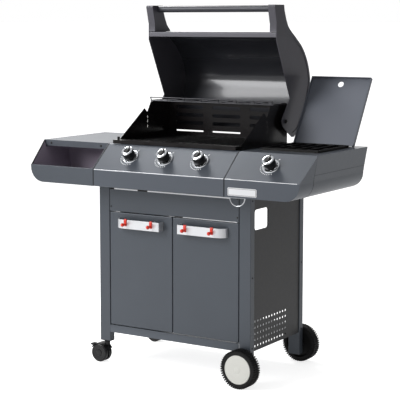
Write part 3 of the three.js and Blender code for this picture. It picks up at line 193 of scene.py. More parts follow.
class Shape:
    """Closed parts gathered into one mesh. Points go in as millimetres and stay so until make()."""

    def __init__(self):
        self.bm = bmesh.new()

    def faces(self, points, faces):
        """One closed part from its points and the corners of its faces."""
        verts = [self.bm.verts.new(p) for p in points]
        made = [self.bm.faces.new([verts[i] for i in face]) for face in faces]
        bmesh.ops.recalc_face_normals(self.bm, faces=made)
        return self

    def prism(self, loops, axis, low, high):
        """A flat outline with holes, carried along an axis. Outlines are in the two other axes."""

        def place(u, v, w):
            return {"x": (w, u, v), "y": (u, w, v), "z": (u, v, w)}[axis]

        verts, edges = [], []
        for loop in loops:
            ring = [self.bm.verts.new(place(u, v, low)) for u, v in loop]
            edges += [self.bm.edges.new(pair) for pair in zip(ring, ring[1:] + ring[:1])]
            verts += ring
        if len(loops) == 1:
            flat = [self.bm.faces.new(verts)]
        else:
            filled = bmesh.ops.triangle_fill(self.bm, edges=edges, use_beauty=True)
            flat = [g for g in filled["geom"] if isinstance(g, bmesh.types.BMFace)]
        grown = bmesh.ops.extrude_face_region(self.bm, geom=flat, use_keep_orig=True)["geom"]
        moved = [g for g in grown if isinstance(g, bmesh.types.BMVert)]
        bmesh.ops.translate(self.bm, verts=moved, vec=place(0, 0, high - low))
        whole = {f for v in verts + moved for f in v.link_faces}
        bmesh.ops.recalc_face_normals(self.bm, faces=list(whole))
        return self

    def lathe(self, profile, matrix, segments=48):
        """A profile of (radius, height) turned about the matrix's Z axis, closed by flat ends unless it
        comes back to its first point."""
        points, rows = [], []
        for radius, height in profile:
            if radius < 1e-6:
                rows.append([len(points)] * segments)
                points.append(matrix @ Vector((0, 0, height)))
                continue
            rows.append(list(range(len(points), len(points) + segments)))
            for i in range(segments):
                angle = 2 * math.pi * i / segments
                across, along = radius * math.cos(angle), radius * math.sin(angle)
                points.append(matrix @ Vector((across, along, height)))
        faces = []
        closed = profile[0] == profile[-1]
        if closed:
            rows[-1] = rows[0]
        for low, high in zip(rows, rows[1:]):
            for i in range(segments):
                j = (i + 1) % segments
                quad = [low[i], low[j], high[j], high[i]]
                faces.append(list(dict.fromkeys(quad)))
        if closed:
            return self.faces(points[:-segments], faces)
        faces += [row for row in (rows[0], rows[-1]) if len(set(row)) > 1]
        return self.faces(points, faces)

    def tube(self, path, radius, sides=14):
        """A round wire along a path."""
        path = [Vector(p) for p in path]
        count = len(path)
        normal = None
        points, faces = [], []
        for i, p in enumerate(path):
            before = path[max(i - 1, 0)]
            after = path[min(i + 1, count - 1)]
            run = (after - before).normalized()
            if normal is None:
                normal = run.orthogonal().normalized()
            normal = (normal - run * normal.dot(run)).normalized()
            other = run.cross(normal)
            for k in range(sides):
                angle = 2 * math.pi * k / sides
                points.append(p + radius * (normal * math.cos(angle) + other * math.sin(angle)))
        for i in range(count - 1):
            a, b = i * sides, (i + 1) * sides
            for k in range(sides):
                m = (k + 1) % sides
                faces.append([a + k, a + m, b + m, b + k])
        faces += [list(range(sides)), list(range((count - 1) * sides, count * sides))]
        return self.faces(points, faces)

    def block(self, x0, x1, y0, y1, z0, z1, matrix=None):
        """A cuboid between the given limits, in the matrix's frame."""
        corners = [Vector((x, y, z)) for x in (x0, x1) for y in (y0, y1) for z in (z0, z1)]
        if matrix:
            corners = [matrix @ c for c in corners]
        return self.faces(corners, CUBOID)

    def pan(self, x0, x1, y0, y1, z0, z1, wall, radius, steps=3):
        """A folded pan with round corners, open at its back."""
        before = set(self.bm.verts)
        self.block(x0, x1, y0, y1, z0, z1)
        made = [v for v in self.bm.verts if v not in before]
        back = max(v.co.y for v in made)
        faces = {f for v in made for f in v.link_faces}
        gone = [f for f in faces if all(abs(v.co.y - back) < 1e-6 for v in f.verts)]
        rim = {e for f in gone for e in f.edges}
        bmesh.ops.delete(self.bm, geom=gone, context="FACES_ONLY")
        edges = {e for v in made for e in v.link_edges if e not in rim}
        bmesh.ops.bevel(
            self.bm, geom=list(edges), offset=radius, segments=steps, affect="EDGES", profile=0.5)
        shell = [f for f in self.bm.faces if not any(v in before for v in f.verts)]
        bmesh.ops.recalc_face_normals(self.bm, faces=shell)
        centre = Vector(((x0 + x1) / 2, (y0 + y1) / 2, (z0 + z1) / 2))
        flat = max(shell, key=lambda f: f.calc_area())
        if (flat.calc_center_median() - centre).dot(flat.normal) < 0:
            bmesh.ops.reverse_faces(self.bm, faces=shell)
        bmesh.ops.solidify(self.bm, geom=shell, thickness=wall)
        return self

    def make(self, name, material, body, replaces=(), slot=None, bevel=0.0, segments=2, sharp=38):
        """The finished piece, in metres, riding on a body and standing for the named CAD pieces."""
        mesh = bpy.data.meshes.new(name)
        to_metres = Matrix.Translation((0, FRONT, 0)) @ Matrix.Scale(0.001, 4)
        bmesh.ops.transform(self.bm, matrix=to_metres, verts=self.bm.verts)
        self.bm.to_mesh(mesh)
        self.bm.free()
        piece = bpy.data.objects.new(name, mesh)
        bpy.context.scene.collection.objects.link(piece)
        dress(piece, material, bevel, segments, sharp)
        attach(piece, body)
        if replaces:
            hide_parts(*([replaces] if isinstance(replaces, str) else replaces))
        return piece


def dress(piece, material, bevel, segments=2, sharp=38, weld=False):
    """Gives a piece its material, smooth shading and small rounded edges."""
    piece.data.materials.clear()
    piece.data.materials.append(material)
    piece.data.shade_smooth()
    if weld:
        joined = piece.modifiers.new("join", "WELD")
        joined.merge_threshold = 2e-5
    if bevel:
        edge = piece.modifiers.new("edges", "BEVEL")
        edge.width = bevel / 1000
        edge.segments = segments
        edge.limit_method = "ANGLE"
        edge.angle_limit = math.radians(sharp)
    split = piece.modifiers.new("creases", "EDGE_SPLIT")
    split.use_edge_sharp = False
    split.split_angle = math.radians(sharp)
    even = piece.modifiers.new("flats", "WEIGHTED_NORMAL")
    even.weight = 100


def line_inside(piece, material, centre):
    """Gives another material to the faces that look towards a point inside the piece."""
    piece.data.materials.append(material)
    for face in piece.data.polygons:
        if (centre - face.center).dot(face.normal) > 0:
            face.material_index = 1


def carry(material, *nodes, bevel=0.5):
    """CAD pieces that are shown as they are, with small rounded edges."""
    for node in nodes:
        dress(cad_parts[node], material, bevel, weld=True)


def fillet(path, radius, steps=5):
    """An open path with its corners rounded."""
    points = [Vector(p) for p in path]
    made = [points[0]]
    for before, corner, after in zip(points, points[1:], points[2:]):
        a, b = (before - corner), (after - corner)
        reach = min(radius, a.length * 0.45, b.length * 0.45)
        start = corner + a.normalized() * reach
        end = corner + b.normalized() * reach
        for i in range(steps + 1):
            t = i / steps
            made.append((1 - t) ** 2 * start + 2 * t * (1 - t) * corner + t ** 2 * end)
    return made + [points[-1]]


def offset(path, distance):
    """Each point moved to the left of the path's run."""
    path = [Vector(p) for p in path]
    runs = [b - a for a, b in zip(path, path[1:])]
    normals = [Vector((-run.y, run.x)).normalized() for run in runs]
    moved = []
    for i, p in enumerate(path):
        before, after = normals[max(i - 1, 0)], normals[min(i, len(normals) - 1)]
        middle = (before + after).normalized()
        moved.append(p + middle * (distance / max(0.3, middle.dot(before))))
    return moved


def section(path, thickness):
    """The outline of a folded sheet: the path is one face, and the sheet lies to its left."""
    return [*map(tuple, path), *map(tuple, reversed(offset(path, thickness)))]


def arc(a, b, radius, start, end, steps):
    """Points about a centre, from one angle in degrees to another."""
    angles = [math.radians(start + (end - start) * i / steps) for i in range(steps + 1)]
    return [(a + radius * math.cos(t), b + radius * math.sin(t)) for t in angles]


def circle(a, b, radius, steps=20):
    """A round outline."""
    return arc(a, b, radius, 0, 360, steps)[:-1]


def grown(box, by):
    """A rectangle (a0, a1, b0, b1) with each of its sides moved out."""
    a0, a1, b0, b1 = box
    return a0 - by, a1 + by, b0 - by, b1 + by


def rounded(box, radius, steps=6):
    """The outline of a rectangle (a0, a1, b0, b1) with round corners."""
    a0, a1, b0, b1 = grown(box, -radius)
    corners = ((a1, b0, -90), (a1, b1, 0), (a0, b1, 90), (a0, b0, 180))
    return [p for a, b, start in corners for p in arc(a, b, radius, start, start + 90, steps)]


def span(side, a, b):
    """Two distances from the centre line on one side, in the order of x."""
    return sorted((side * a, side * b))


def spline(points, samples):
    """A smooth curve through the points, the same one as in the model."""
    made = []
    for k in range(samples + 1):
        place = (len(points) - 1) * k / samples
        i = min(int(place), len(points) - 2)
        t = place - i
        around = (max(i - 1, 0), i, i + 1, min(i + 2, len(points) - 1))
        p0, p1, p2, p3 = (np.array(points[n], float) for n in around)
        v0, v1 = (p2 - p0) / 2, (p3 - p1) / 2
        cubic = 2 * p1 - 2 * p2 + v0 + v1
        square = -3 * p1 + 3 * p2 - 2 * v0 - v1
        made.append(tuple(cubic * t ** 3 + square * t ** 2 + v0 * t + p1))
    return made


def axes(origin, z_axis, y_axis=(0, 1, 0)):
    """A frame at an origin with its Z axis along a direction and its Y axis near another."""
    z = Vector(z_axis).normalized()
    x = Vector(y_axis).cross(z)
    if x.length <= 1e-3:
        x = Vector((1, 0, 0)).cross(z)
    x.normalize()
    y = z.cross(x)
    return Matrix.Translation(origin) @ Matrix((x, y, z)).transposed().to_4x4()


def upright(x, y, z=0):
    """A frame with its Z axis straight up."""
    return axes((x, y, z), (0, 0, 1))


def turned(place, angle):
    """A frame turned about its own Z axis, by an angle in radians."""
    return place @ Matrix.Rotation(angle, 4, "Z")


def screws(name, places, normal, radius, material):
    """Dome-headed screws with a round socket."""
    head = [(0, -0.4), (radius, -0.4), (radius, 0.3), (radius * 0.8, 1.3), (radius * 0.45, 1.8),
            (radius * 0.42, 0.6), (0, 0.6)]
    shape = Shape()
    for place in places:
        shape.lathe(head, axes(place, normal), 20)
    shape.make(name, material, "frame", slot="steel", sharp=30)


# ---- Cabinet ----
POST_FOOT = {"left": 92, "right": 40}  # the left posts stand on the casters
CASTER_STEM = 5.8


def post(end, side):
    """A square tube, closed around the caster's stem on the left and capped on the right."""
    label = SIDES[side]
    x, y, low = side * POST_X, ENDS[end], POST_FOOT[label]
    box = (x - POST[0] / 2, x + POST[0] / 2, y - POST[1] / 2, y + POST[1] / 2)
    outline = rounded(box, 2.2)
    tube = Shape().prism([outline, rounded(grown(box, -SHEET), 1)], "z", low, CABINET_TOP)
    if label == "left":
        tube.prism([outline, circle(x, y, CASTER_STEM)], "z", low, low + 2)
    tube.make(f"post_tube_{end}_{label}", PAINT, "frame", f"post_{end}_{label}", "powder_coat", 0.3)
    if label == "right":
        cap = Shape().prism([rounded(grown(box, -0.6), 3)], "z", low - 2.5, low + 1)
        cap.make(f"post_end_cap_{end}", MATT, "frame", slot="caster_plastic", bevel=0.8)


HAND_OPENING = (36, 140, 600, 680)  # y and z limits
SIDE_PANEL_BOTTOM = 131
VENTS = (12, 5)  # across and up
VENT_PITCH = (22, 24)
VENT_START = (44.3, 150)  # y and z of the first
VENT_RADIUS = 4.6


def side_panel(side):
    """A sheet between the posts, with a hand opening, rows of round vents and the opening's rolled rim."""
    label = SIDES[side]
    face = HALF_CABINET - 4
    front, back = POST[1] + GAP, CABINET_DEPTH - POST[1] - GAP
    low, high = SIDE_PANEL_BOTTOM, CABINET_TOP
    loops = [[(front, low), (back, low), (back, high), (front, high)], rounded(HAND_OPENING, 12)]
    for i in range(VENTS[0]):
        for j in range(VENTS[1]):
            centre = (VENT_START[0] + VENT_PITCH[0] * i, VENT_START[1] + VENT_PITCH[1] * j)
            loops.append(circle(*centre, VENT_RADIUS, 14))
    sheet = Shape().prism(loops, "x", *span(side, face - SHEET, face))
    sheet.make(f"side_sheet_{label}", SIDE_SHADE_PAINT, "frame", f"side_panel_{label}", "powder_coat", 0.25)
    rim = Shape().prism([rounded(grown(HAND_OPENING, 2.5), 14), rounded(grown(HAND_OPENING, -0.2), 12)],
                        "x", *span(side, face - 4, face + 1.2))
    rim.make(f"hand_opening_rim_{label}", SIDE_SHADE_PAINT, "frame", slot="powder_coat", bevel=0.8)


APRON_BOTTOM = 631


def front_apron():
    """The strip over the doors, folded back along its top and its bottom."""
    strip = fillet([(16, CABINET_TOP), (0, CABINET_TOP), (0, APRON_BOTTOM), (16, APRON_BOTTOM)], 3)
    sheet = Shape().prism([section(strip, SHEET)], "x", -302.4, 302.4)
    sheet.make("apron_sheet", PAINT, "frame", "front_apron", "powder_coat", 0.3)


def painted_gap_shade():
    """Painted shade: matt black strips behind the narrow gaps beside the apron, the control panel and the
    doors.
    """
    face = [(-1.7, DECK - 3), (1 - PANEL_REACH, PANEL_FOLD - 0.4), (1 - PANEL_REACH, PANEL_BOTTOM + 1)]
    strips = Shape()
    for side in SIDES:
        strips.block(*span(side, 301, 304.9), 3, 15, APRON_BOTTOM + 1, CABINET_TOP - 1)
        strips.prism([section(face, 1)], "x", *span(side, 300.8, 304.9))
        strips.block(*span(side, 288, 304.8), 21.5, 23, DOOR[0] + 1, DOOR[1] + 1)
    strips.make("painted_gap_shade", MATT, "frame", slot="powder_coat")


def painted_highlight_lines():
    """Painted highlight: pale strips along the apron's top, its bottom and the panel's fold, broken by
    painted shade.
    """
    edges = Shape()
    for x0, x1 in ((-280, -166), (-118, 262)):
        edges.block(x0, x1, -0.5, 0.4, 720.6, 725.4)
    edges.block(50, 296, -0.5, 0.4, APRON_BOTTOM + 0.3, APRON_BOTTOM + 2.2)
    for x0, x1 in ((-300, 300), (306, 610)):
        ends = [(x, 0.7 - PANEL_REACH, PANEL_FOLD + 0.2) for x in (x0, x1)]
        edges.tube(ends, 1.1)
    edges.make("painted_highlight_lines", EDGE, "frame", slot="powder_coat", bevel=0.2)
    # Painted shade: black strips where the line of light along the edges breaks off.
    breaks = Shape()
    for x0, x1 in ((-302, -281), (-165, -119)):
        breaks.block(x0, x1, -0.45, 0.4, 720, 725.6)
    breaks.block(10, 49, -0.45, 0.4, APRON_BOTTOM - 1, APRON_BOTTOM + 3)
    breaks.make("edge_breaks", MATT, "frame", slot="powder_coat")


def cabinet_screws():
    """Screws down both ends of the apron and down the posts."""
    places = [(side * 296, 0, z) for side in SIDES for z in (650, 722)]
    screws("apron_screws", places, (0, -1, 0), 3.6, BLACK)
    places = [(side * HALF_CABINET, y, z) for side in SIDES for y in ENDS.values() for z in (146, 420, 716)]
    screws("side_screws", places, (1, 0, 0), 3.6, BLACK)


for end in ENDS:
    for side in SIDES:
        post(end, side)
for side in SIDES:
    side_panel(side)
carry(PAINT, "bottom_shelf", "rear_rail", bevel=0.5)
front_apron()
painted_gap_shade()
painted_highlight_lines()
cabinet_screws()


# ---- Doors ----
DOOR_DEPTH = 18
HINGE_PIN = (294, 6)  # x and y
GRIP_INNER, GRIP_OUTER = 42, 255  # ends of the handle, from the centre line
GRIP_Y = -34.3  # its front face
GRIP_HEIGHT = 36
GRIP_TOP = DOOR[1] - 22
GRIP_BEND = (44, 31)  # the outer curve, across and deep
HOOK_X = (80, 202)


def door(side):
    """A folded pan with a hinge pin at its top and its bottom."""
    label = SIDES[side]
    pan = Shape().pan(*span(side, 1.5, 302), 0, DOOR_DEPTH, *DOOR, wall=1.4, radius=3)
    for z, low, high in ((DOOR[0] - 5.5, -7, 5), (DOOR[1] + 5.5, -5, 7)):
        outline = [(0, low), (3, low), (3, high), (0, high)]
        pan.lathe(outline, upright(side * HINGE_PIN[0], HINGE_PIN[1], z), 20)
    pan.make(f"door_pan_{label}", PAINT, f"{label}_door", f"door_{label}", "powder_coat", 0.3)


def door_handle(side):
    """A flat bar bent square at the inner end and in a long curve at the outer end."""
    label = SIDES[side]
    along, deep = GRIP_BEND
    inner = fillet([(GRIP_INNER, -10), (GRIP_INNER, GRIP_Y), (80, GRIP_Y)], 5)
    curve = [(GRIP_OUTER - along + along * math.sin(t), GRIP_Y + deep - deep * math.cos(t))
             for t in np.linspace(0, math.pi / 2, 15)]
    path = [(GRIP_INNER, -GAP), *[tuple(p) for p in inner], *curve, (GRIP_OUTER, -GAP)]
    path = [(side * x, y) for x, y in path][::side]
    bar = Shape().prism([section(path, 3)], "z", GRIP_TOP - GRIP_HEIGHT, GRIP_TOP)
    bar.make(f"handle_bar_{label}", BRUSHED, f"{label}_door", f"door_handle_{label}", "aluminium", 0.7, 2)


def tool_hook(side, number):
    """A red clip over the handle bar, with a flared peg to hang a tool on."""
    label = SIDES[side]
    x = side * HOOK_X[number - 1]
    front, back = GRIP_Y - GAP, GRIP_Y + 3 + GAP
    clip = [(front, GRIP_TOP - 25), (front, GRIP_TOP + GAP), (back, GRIP_TOP + GAP), (back, GRIP_TOP - 10)]
    peg = [(0, -2), (5.2, -2), (4.6, 2), (4, 12), (4.4, 15), (6.2, 16), (7.3, 18.4), (7.5, 20.5), (7, 23),
           (5.5, 25.6), (3, 27.2), (0, 27.7)]
    hook = Shape().prism([section(fillet(clip, 2), 3)], "x", x - 6, x + 6)
    hook.lathe(peg, axes((x, GRIP_Y, GRIP_TOP - 18), (0, -1, 0), (0, 0, 1)), 28)
    name = f"{label}_{number}"
    hook.make(f"hook_{name}", RED, f"{label}_door", f"tool_hook_{name}", "red_plastic", 0.7, 2)


for side in SIDES:
    door(side)
    door_handle(side)
    for number in (1, 2):
        tool_hook(side, number)


# ---- Wheels ----
WHEEL_Y = {"front": -33, "rear": 461}
TREAD_BLOCKS = 50
TYRE = [(6.5, 14), (6.5, -32), (16.5, -32), (16.5, -8.5), (52, -8.5), (56, -21), (60, -22.3), (66, -22),
        (69.4, -20), (71.2, -15), (71.4, 0), (71.2, 15), (69.4, 20), (66, 22), (60, 22.3), (56.4, 21.5),
        (56.2, 14), (6.5, 14)]
HUB_CAP = [(0, 14.3), (56, 14.3), (56, 21.2), (54.6, 22.6), (52, 22.9), (50.5, 22.2), (49, 22.2),
           (47.5, 22.9), (34, 23.3), (17, 23.4), (15.5, 22.6), (14, 22.6), (12.5, 23.5), (0, 23.6)]


def wheel(label, y):
    """A tyre with staggered tread blocks, the axle's end and a ringed hub cap. Z points outwards."""
    outward = -1 if label == "front" else 1
    place = axes((POST_X, y, AXLE_HEIGHT), (0, outward, 0), (0, 0, 1))
    tyre = Shape().lathe(TYRE, place, 96)
    for k in range(TREAD_BLOCKS):
        turn = turned(place, 2 * math.pi * k / TREAD_BLOCKS)
        between = turned(turn, math.pi / TREAD_BLOCKS)
        tyre.block(70, 75, -2.7, 2.7, -20.5, -0.8, turn)
        tyre.block(70, 75, -2.7, 2.7, 0.8, 20.5, between)
        tyre.block(62, 74.8, -2.5, 2.5, 19.4, 22.9, between)
        tyre.block(62, 74.8, -2.5, 2.5, -22.9, -19.4, turn)
    tyre.make(f"tyre_{label}", RUBBER, f"{label}_wheel", f"wheel_{label}", "rubber", 0.5, 1)
    axle = Shape().lathe([(0, 12.6), (5.9, 12.6), (5.9, 14), (0, 14)], place, 24)
    axle.make(f"axle_end_{label}", STEEL, "frame", slot="steel")
    cap = Shape().lathe(HUB_CAP, place, 96)
    cap.make(f"hub_cap_{label}", CAP, f"{label}_wheel", f"wheel_cap_{label}", "wheel_cap")


# ---- Casters ----
CASTER = (-360, 37.5)  # x and z of the rollers' axle
CASTER_EYE = 45  # from the axle to the brake's pin, up at a slant
STEM = [(0, 73), (10, 73), (11, 75), (11, 86), (13, 88), (13, 91.6), (5.5, 91.6), (5.5, 116), (0, 116)]
ROLLER = [(0, 6), (34, 6), (36.5, 7), (37.5, 9.5), (37.5, 17.5), (36.3, 20.5), (33.5, 22.3), (30, 22.4),
          (28.5, 21), (14, 20), (12, 22.6), (7, 23), (0, 23)]


def pin(radius, half):
    """The profile of a plain round pin, as long each way."""
    return [(0, -half), (radius, -half), (radius, half), (0, half)]


def caster_fork(label, y):
    """The hood over the rollers, the web between them, the stem in the post and the brake's pin."""
    x, z = CASTER
    fork = Shape()
    fork.prism([arc(x, z, 41.3, 25, 150, 28) + arc(x, z, 38.6, 150, 25, 28)], "y", y - 23, y + 23)
    fork.prism([arc(x, z, 39.2, -12, 192, 40)], "y", y - 4.5, y + 4.5)
    fork.lathe(STEM, upright(-POST_X, y), 32)
    slant = math.radians(140)
    eye = axes((x + CASTER_EYE * math.cos(slant), y, z + CASTER_EYE * math.sin(slant)), (0, 1, 0), (0, 0, 1))
    fork.lathe(pin(5, 4), eye, 20)
    fork.lathe(pin(2, 11), eye, 16)
    body, hood = f"{label}_caster_fork", f"caster_hood_{label}"
    fork.make(f"caster_fork_{label}", MATT, body, hood, "caster_plastic", 0.9, 2)


def caster_rollers(label, y):
    """A roller on either side of the web, joined by the axle."""
    roll = Shape()
    for outward in (-1, 1):
        roll.lathe(ROLLER, axes((CASTER[0], y, CASTER[1]), (0, outward, 0), (0, 0, 1)), 56)
    roll.lathe(pin(4, 7), axes((CASTER[0], y, CASTER[1]), (0, 1, 0), (0, 0, 1)), 20)
    roll.make(f"caster_roller_{label}", BLACK, f"{label}_caster_wheel", f"caster_wheels_{label}", "rubber")


for label, y in WHEEL_Y.items():
    wheel(label, y)
for label, y in ENDS.items():
    caster_fork(label, y)
    caster_rollers(label, y)
carry(MATT, "caster_brake_front", bevel=0.8)


# ---- Inside the firebox ----
RACK = (275, 388)  # y of the front and the back wire
RACK_HALF = 292
RACK_WIRE_RADIUS = 2.2
RACK_Z = 1061.3 + RACK_WIRE_RADIUS
RACK_STEP = 14  # how far the front wire stands over the rest
CROSS_WIRES = 8


def rest_stop():
    """A short round post in the front left corner of the firebox."""
    post_outline = [(0, 917), (5, 917), (5.4, 919), (5.4, 929), (4.4, 930.5), (0, 931)]
    stop = Shape().lathe(post_outline, upright(-281, 33), 24)
    stop.make("rest_stop", MATT, "frame", slot="enamel")


def warming_rack():
    """Long wires with cross wires over them, stepped up at the front."""
    front, back = RACK
    rack = Shape()
    raised = RACK_Z + RACK_STEP
    for y, z in ((front + 6, RACK_Z), ((front + back) / 2, RACK_Z), (back, RACK_Z), (front, raised)):
        rack.tube([(-RACK_HALF, y, z), (RACK_HALF, y, z)], RACK_WIRE_RADIUS)
    bend = fillet([(front, raised), (front + 6, RACK_Z + 1), (front + 30, RACK_Z + 1)], 6)
    reach = RACK_HALF - RACK_WIRE_RADIUS
    for i in range(CROSS_WIRES):
        x = -reach + 2 * reach * i / (CROSS_WIRES - 1)
        rack.tube([*[(x, *p) for p in bend], (x, back + 1, RACK_Z + 1)], 2.0)
    rack.make("rack_wires", RACK_WIRE, "frame", "warming_rack", "wire")


carry(ENAMEL, "firebox", bevel=0.6)
carry(ENAMEL, "flame_tamer", bevel=0.4)
carry(STEEL, "burner_1", "burner_2", "burner_3", "grease_tray", "gas_manifold", bevel=0.4)
carry(STEEL, "valve_stem_1", "valve_stem_2", "valve_stem_3", "valve_stem_4", bevel=0.4)
carry(IRON, "cooking_grate_left", "cooking_grate_right", bevel=1.5)
rest_stop()
warming_rack()


# ---- Control panel and knobs ----
BEZEL = [(22, 0.2), (35, 0.2), (35, 1.8), (33.4, 4), (30.4, 4.8), (27, 3.8), (24.8, 2.3), (22, 2.3),
         (22, 0.2)]
KNOB_GRIP = [(0, 20.3), (4.3, 20.3), (4.3, 6), (21, 6), (23.2, 6.6), (24, 9), (23.4, 24), (22.6, 34.5),
             (21.8, 36.2), (20.8, 36.6), (18.2, 36.6), (17.4, 35.8), (0, 35.8)]
KNOB_RIBS = 24
KNOB_RING = [(13.8, 35.9), (22.8, 35.6), (23.6, 35.6), (23.4, 36.6), (21.6, 38), (18.4, 38.4), (15.2, 37.8),
             (13.8, 36.8), (13.8, 35.9)]
DIAL_DASHES = 12
DIAL_START, DIAL_STEP, DIAL_OFF = 158, 12.4, 62  # degrees about the knob
DIAL_RADIUS = 38.4


def control_panel():
    """The sheet behind the knobs: flat top, sloping face, upright front and a fold under it."""
    front = -PANEL_REACH
    path = [(16, DECK), (0, DECK), (front, PANEL_FOLD), (front, PANEL_BOTTOM), (-2, PANEL_BOTTOM)]
    sheet = Shape().prism([section(fillet(path, 4), SHEET)], "x", -300.6, 300.6)
    sheet.make("panel_sheet", PANEL_LIT_PAINT, "frame", "control_panel", "powder_coat", 0.3)


def bezel(number, place):
    """The bright ring round a knob and the black disc inside it."""
    ring = Shape().lathe(BEZEL, place, 64)
    ring.make(f"bezel_{number}", CHROME, "frame", slot="aluminium")
    disc = Shape().lathe([(0, 0.15), (21.8, 0.15), (21.8, 1.2), (0, 1.2)], place, 48)
    disc.make(f"bezel_disc_{number}", BLACK, "frame", slot="knob_plastic")


def knob(number, place):
    """A ribbed grip with a bar across its face, a bright ring and a white mark."""
    body = f"knob_body_{number}"
    grip = Shape().lathe(KNOB_GRIP, place, 72)
    for k in range(KNOB_RIBS):
        grip.block(23, 24, -1, 1, 9.5, 30, turned(place, 2 * math.pi * k / KNOB_RIBS))
    grip.block(-4.4, 4.4, -9, 22.8, 35.4, 39.2, place)
    grip.make(f"knob_grip_{number}", BLACK, body, f"knob_{number}", "knob_plastic", 0.5)
    ring = Shape().lathe(KNOB_RING, place, 64)
    ring.make(f"knob_ring_{number}", CHROME, body, slot="aluminium")
    mark = Shape().block(-0.9, 0.9, 8, 21, 39, 39.4, place)
    mark.make(f"knob_mark_{number}", WHITE, body, slot="wheel_cap", bevel=0.2)


def dial(number, place):
    """White dashes printed round a knob, each wider than the last, and a longer one for off."""
    dashes = Shape()
    for k in range(DIAL_DASHES):
        half = 0.8 + 0.05 * k
        turn = turned(place, math.radians(DIAL_START + DIAL_STEP * k))
        dashes.block(DIAL_RADIUS, DIAL_RADIUS + 5.2, -half, half, 0.1, 0.5, turn)
    off = turned(place, math.radians(DIAL_OFF))
    dashes.block(DIAL_RADIUS, DIAL_RADIUS + 7.6, -1.2, 1.2, 0.1, 0.5, off)
    dashes.make(f"dial_marks_{number}", WHITE, "frame", slot="wheel_cap")


control_panel()
slope_out = (0, -math.sin(SLOPE), math.cos(SLOPE))
slope_up = (0, math.cos(SLOPE), math.sin(SLOPE))
for number, x in enumerate(KNOB_X, 1):
    place = axes((x, -KNOB_SETBACK, KNOB_Z), slope_out, slope_up)
    bezel(number, place)
    knob(number, place)
    dial(number, place)


# ---- Side shelves ----
BADGE = (319, 443, 750, 780)  # x and z limits
OPENER = (354, -97.5, 741.7)  # middle of the ring
OPENER_RADIUS = 31.7


def painted_crease_shade():
    """Painted shade: a dark strip in the crease along the right shelf's end, and one in the slit above its
    fold.
    """
    face = [(634.6, 896), (619.4, PANEL_FOLD), *arc(559.4, 803, 60, 0, -80, 12)]
    crease = Shape().prism([section(face, 0.75)], "y", -1.1, 0.9)
    crease.block(623.6, 624.2, 2, 420, 831.2, 832.2)
    crease.make("painted_crease_shade", MATT, "frame", slot="powder_coat")


def bin_edge_trim():
    """The dark strip down the front corner of the left bin, leaning with the panel's slope."""
    top = (-636.7, -1, DECK - 0.2, DECK - 5)
    bottom = (-619.8, 0.4 - PANEL_REACH, PANEL_FOLD + 1, PANEL_FOLD - 3)
    corners = [Vector((x + w, y, z)) for x, y, *heights in (top, bottom) for w in (0, 4.6) for z in heights]
    trim = Shape().faces(corners, CUBOID)
    trim.make("bin_edge_trim", MATT, "frame", slot="bin_plastic")


def badge():
    """A blank bright plate with a dark border line, on the front of the panel."""
    plate = Shape().prism([rounded(BADGE, 4)], "y", -111.2, -110.2)
    plate.make("badge", BRUSHED, "frame", "badge_plate", "aluminium", 0.5)
    line_out, line_in = grown(BADGE, -2.5), grown(BADGE, -3.6)
    border = Shape().prism([rounded(line_out, 3), rounded(line_in, 2.4)], "y", -111.7, -111.1)
    border.make("badge_border", MATT, "frame", slot="caster_plastic")


def bottle_opener():
    """Half a ring of wire hanging from a small plate."""
    x, y, z = OPENER
    angles = np.linspace(math.pi, 2 * math.pi, 40)
    ring = [(x + OPENER_RADIUS * math.cos(t), y, z + OPENER_RADIUS * math.sin(t)) for t in angles]
    opener = Shape().tube(ring, 2.6)
    opener.block(x - 34, x + 34, -106, -84, z - 1, z + 0.9)
    opener.make("opener_ring", WIRE, "frame", "bottle_opener", "wire", 0.4)


carry(PANEL_LIT_PAINT, "left_shelf", "right_front_panel", bevel=0.6)
carry(PAINT, "right_shelf", bevel=0.6)
painted_crease_shade()
bin_edge_trim()
carry(PAINT, "left_bin", bevel=0.6)
# The faces looking into the bin get the pale painted-light copy of the paint.
line_inside(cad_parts["left_bin"], BIN_LIT_PAINT, at(-440, 10, 815))
screws("bin_screws", [(x, 0.2, 892) for x in (-600, -345)], (0, -1, 0), 5, MATT)
badge()
bottle_opener()


# ---- Side burner ----
BOWL_FLOOR = DECK + GAP - 55
CROWN = [(0, -8), (12, -8), (12, 1.8), (34, 7.8), (36, 24), (42, 26), (42, 30), (40, 31.5), (30, 34.5),
         (12, 35), (0, 35)]
CROWN_TEETH = 36


def burner_crown():
    """The brass burner head, with a tooth between every two flame ports."""
    place = upright(*SIDE_BURNER, BOWL_FLOOR)
    head = Shape().lathe(CROWN, place, 64)
    for k in range(CROWN_TEETH):
        head.block(35.5, 41.4, -1.2, 1.2, 23, 26.5, turned(place, 2 * math.pi * k / CROWN_TEETH))
    head.make("burner_crown", BRASS, "frame", "side_burner_head", "brass", 0.4)


carry(ENAMEL, "side_burner_bowl", bevel=0.5)
carry(IRON, "side_burner_grate", bevel=1.4)
burner_crown()
carry(SIDE_LID_LIT_PAINT, "side_lid", bevel=0.6)


# ---- Lid. Outlines are (y, z) from the hinge line, as the lid stands open. ----
LID_REAR = [(-16, 464), (-8, 432), (22, 378), (88, 332), (142, 293), (183, 241), (205, 190), (211, 150),
            (199, 105), (170, 42), (118, -30), (88, -56)]
LID_FOOT = [(76, -66), (56, -67), (-11, -28), *arc(0, 0, 29, 250, 150, 12)]
LID_FRONT = [(38, 90), (-76, 323), (-76, 392), (-93, 458), (-88, 464)]
REAR_LIMIT = 211.1
BROW = 357  # height of the skin's top, where the arms begin
BOLT = [(0, 308), (8.5, 308), (8.5, 309.5), (7, 311.4), (3.6, 312.4), (3.4, 310.8), (0, 310.8)]
HANDLE = (-45, 449)  # the tube's middle
lid_rear = [(min(a, REAR_LIMIT), b) for a, b in spline(LID_REAR, 96)]


